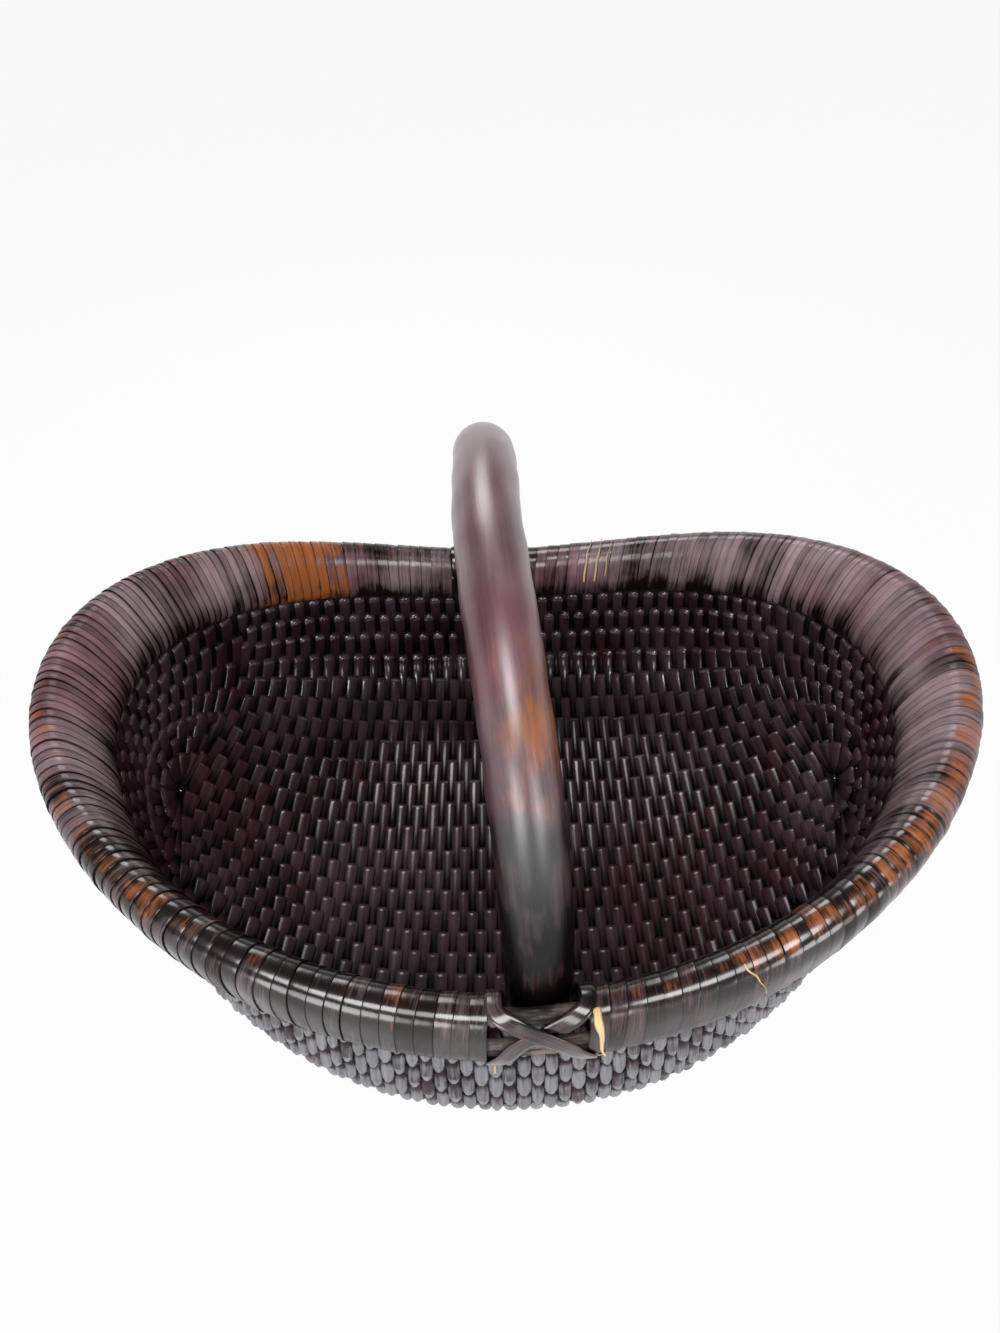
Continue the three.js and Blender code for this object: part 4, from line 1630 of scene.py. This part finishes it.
@dataclass(frozen=True)
class Sliver:
    """A torn fibre on the rim: where it starts and ends, in length and degrees, its width and lift."""

    start: float
    stop: float
    first_angle: float
    last_angle: float
    half_width: float
    lift: float = 1.5 * MM


@dataclass
class TornEnds:
    """Pale torn fibres of broken strips, lying on the binding with their tips lifted."""

    rim: RimLine
    rest: float = 1.1 * MM
    half_thick: float = 0.35 * MM
    taper: float = 0.75
    place_wander: Wander = Wander(0.5 * MM, (0.9, 0.45))
    width_wander: Wander = Wander(0.1, (0.3, 0.7))
    tone_wander: Wander = Wander(0.3, (0.5,))
    steps: int = 40
    sides: int = 6
    seed: int = 111

    def slivers(self) -> list[Sliver]:
        """The torn places: beside the front foot, further right, under the rim and on the back rim.

        Returns:
            The torn fibres.
        """
        back = self.rim.back_middle
        return [
            Sliver(41.5 * MM, 47 * MM, 76.0, -46.0, 2.1 * MM, 0.8 * MM),
            Sliver(47.5 * MM, 38 * MM, -38.0, -50.0, 0.9 * MM, 0.6 * MM),
            Sliver(114 * MM, 123 * MM, 82.0, 14.0, 0.55 * MM),
            Sliver(-7.5 * MM, -6.5 * MM, -46.0, -70.0, 2.2 * MM, 9.0 * MM),
            Sliver(back - 66 * MM, back - 70 * MM, 186.0, 62.0, 0.8 * MM, 0.3 * MM),
            Sliver(back - 75 * MM, back - 78 * MM, 186.0, 70.0, 0.9 * MM, 0.3 * MM),
            Sliver(back - 83 * MM, back - 86 * MM, 180.0, 84.0, 0.6 * MM, 0.3 * MM),
            Sliver(back + 38 * MM, back + 41 * MM, 196.0, 168.0, 1.6 * MM, 0.8 * MM),
        ]

    def dress(self, finish: Material) -> None:
        """Makes the torn fibres: narrow strips from place to place on the rim that taper to a lifted tip.

        Args:
            finish: the bare wood's finish.
        """
        rng = np.random.default_rng(self.seed)
        table = np.array([astuple(sliver) for sliver in self.slivers()])
        start, stop, first, last, half_width, lift = table.T[..., None]
        share = np.broadcast_to(np.linspace(0.0, 1.0, self.steps), (len(table), self.steps))
        length = mix(start, stop, share) + self.place_wander.along(share, rng)
        grow = self.rest + lift * smooth(share, 0.6, 1.0) ** 2
        points, outward = self.rim.oval(length, np.radians(mix(first, last, share)), grow)
        width = half_width * (1.0 - self.taper * smooth(share, 0.2, 0.9))
        width = width * (1.0 + self.width_wander.along(share, rng))
        values = {"tone": 0.5 + self.tone_wander.along(share, rng), "wear": 0.4, "gloss": 0.0}
        skin = swept(points, outward, width, self.half_thick, self.sides, values)
        skin.to_object("torn_strip_ends", finish, Slot.STRIP)


# Studio


def stand(data: bpy.types.ID, place: Sequence[float], right: Array, back: Array) -> bpy.types.Object:
    """Puts a lamp or camera in the scene.

    Args:
        data: the lamp or camera.
        place: where it stands.
        right: direction of its own X axis.
        back: direction of its own Z axis, away from what it looks at.

    Returns:
        The new object, which bears the data's name.
    """
    made = bpy.data.objects.new(data.name, data)
    turn = Matrix(np.stack([right, np.cross(back, right), back], axis=1).tolist()).to_4x4()
    made.matrix_world = Matrix.Translation(place) @ turn
    bpy.context.scene.collection.objects.link(made)
    return made


@dataclass(frozen=True)
class SoftLamp:
    """A round soft lamp, aimed at the middle of the basket."""

    name: str
    place: tuple[float, float, float]
    size: float
    power: float
    aim: tuple[float, float, float] = (0.0, 0.0, 0.12)

    def build(self) -> None:
        """Hangs the lamp, with its own Z axis along the line from the basket to the lamp."""
        data = bpy.data.lights.new(self.name, "AREA")
        data.shape = "DISK"
        data.energy = self.power
        data.size = self.size
        back = unit(np.array(self.place) - np.array(self.aim))
        stand(data, self.place, unit(np.cross(UP, back)), back)


@dataclass
class Studio:
    """A pale floor, soft lamps, an even sky and the camera of the photograph."""

    eye: tuple[float, float, float] = (5.651 * MM, -396.605 * MM, 550.974 * MM)
    pitch: float = 0.743
    yaw: float = -0.018
    roll: float = 0.033
    focal_pixels: float = 900.8
    image_height: float = 1333.0
    sensor: float = 36.0
    clip: tuple[float, float] = (0.01, 100.0)
    floor_rings: tuple[float, ...] = (0.001, 0.4, 0.8, 1.6, 3.0, 6.0, 12.0)
    floor_spokes: int = 64
    floor_white: float = 0.93
    floor_tones: tuple[float, float] = (0.86, 0.9)
    sky: float = 0.15
    ceiling: float = 0.1
    lamps: tuple[SoftLamp, ...] = (
        SoftLamp("front_softbox", (-0.45, -1.35, 0.5), 0.66, 7.6),
        SoftLamp("right_softbox", (0.75, -1.2, 0.5), 0.58, 5.6),
        SoftLamp("high_softbox", (-0.05, -0.8, 1.3), 0.58, 9.5),
        SoftLamp("back_softbox", (-0.2, 0.9, 1.2), 0.66, 6.8),
    )

    def camera(self) -> None:
        """Sets the camera by its eye point, pitch, yaw and roll."""
        level = math.cos(self.pitch)
        ahead = [math.sin(self.yaw) * level, math.cos(self.yaw) * level, -math.sin(self.pitch)]
        forward = np.array(ahead)
        right = unit(np.cross(forward, UP))
        down = np.cross(forward, right)
        data = bpy.data.cameras.new("photo_camera")
        data.sensor_width = self.sensor
        data.lens = self.focal_pixels / self.image_height * self.sensor
        data.clip_start, data.clip_end = self.clip
        rolled = math.cos(self.roll) * right + math.sin(self.roll) * down
        bpy.context.scene.camera = stand(data, self.eye, rolled, -forward)

    @staticmethod
    def seen(graph: Graph) -> Socket:
        """1 for rays from the camera, also by way of a gloss or through a clear thing, and 0 for light.

        Args:
            graph: the tree that asks.

        Returns:
            The output that says so.
        """
        path = graph.node("LightPath").outputs
        direct = graph.calc("MAXIMUM", path["Is Camera Ray"], path["Is Transmission Ray"])
        return graph.calc("MAXIMUM", direct, path["Is Glossy Ray"])

    def sky_light(self) -> None:
        """A white room with an even soft light; reflections show it white low down and dim overhead."""
        world = bpy.data.worlds.new("studio_sky")
        bpy.context.scene.world = world
        world.use_nodes = True
        graph = Graph(world.node_tree)
        height = graph.node("SeparateXYZ", {0: graph.node("TexCoord").outputs["Generated"]}).outputs["Z"]
        shown = graph.spread(height, 0.1, 0.5, 1.0, self.ceiling)
        strength = graph.between(self.seen(graph), self.sky, shown)
        direct = graph.node("LightPath").outputs["Is Camera Ray"]
        strength = graph.between(direct, strength, 1.0)
        light = graph.node("Background", {"Color": WHITE, "Strength": strength})
        graph.node("OutputWorld", {"Surface": light.outputs[0]})

    def floor_finish(self) -> Material:
        """A pale matte floor that the camera sees near white, with a soft shadow on it.

        Returns:
            The material.
        """
        made = bpy.data.materials.new("pale_floor")
        made.use_nodes = True
        graph = Graph(made.node_tree)
        seen = self.seen(graph)
        speck = graph.noise(graph.node("TexCoord").outputs["Object"], scale=40.0, detail=2.0)
        tone = graph.blend(speck, *((v, v, v, 1.0) for v in self.floor_tones))
        sockets = {"Base Color": tone, "Roughness": 0.9, "Specular IOR Level": 0.2}
        matte = graph.node("BsdfPrincipled", sockets)
        white = graph.node("Emission", {"Color": WHITE, "Strength": 1.0})
        share = graph.calc("MULTIPLY", seen, self.floor_white)
        shown = graph.node("MixShader", {0: share, 1: matte.outputs[0], 2: white.outputs[0]})
        graph.node("OutputMaterial", {"Surface": shown.outputs[0]})
        return made

    def floor(self) -> None:
        """A wide round floor: a grid of rings and spokes."""
        radius, angle = np.array(self.floor_rings)[:, None], ring_angles(self.floor_spokes)
        x, y = radius * np.cos(angle), radius * np.sin(angle)
        points = np.stack([x, y, np.zeros_like(x)], axis=-1)
        index = np.arange(x.size).reshape(x.shape)
        faces = ring_quads(index[1:], index[:-1]).tolist() + [index[0].tolist()]
        mesh = bpy.data.meshes.new("studio_floor")
        mesh.from_pydata(points.reshape(-1, 3).tolist(), [], faces)
        mesh.materials.append(self.floor_finish())
        floor = bpy.data.objects.new("studio_floor", mesh)
        bpy.context.scene.collection.objects.link(floor)

    def build(self) -> None:
        """Sets camera, lamps, sky, floor and the plain view."""
        self.camera()
        for lamp in self.lamps:
            lamp.build()
        self.sky_light()
        self.floor()
        bpy.context.scene.view_settings.view_transform = "Standard"


def main() -> None:
    """Builds the studio and the basket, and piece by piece."""
    logging.basicConfig(level=logging.INFO, format="%(name)s %(message)s")
    Studio().build()
    groups = {"fibre": fibre_group(), "wear": wear_group(), "stain": stain_group()}
    rim = RimLine()
    feet = (Foot(16 * MM, 16 * MM, -1.0), Foot(rim.back_middle + 14 * MM, -14 * MM, 1.0))
    strip = STRIP_FINISH.material(groups)
    WovenBody(WallForm(rim)).dress(WEAVE_FINISH.material(groups), TWINE_FINISH.material(groups))
    Hoops(rim, feet).dress(ROD_FINISH.material(groups))
    RimBinding(rim, feet).dress(strip)
    PoleHandle(rim, feet).dress(POLE_FINISH.material(groups))
    Lashings(rim, feet).dress(strip)
    TornEnds(rim).dress(TORN_FINISH.material(groups))


if __name__ == "__main__":
    main()
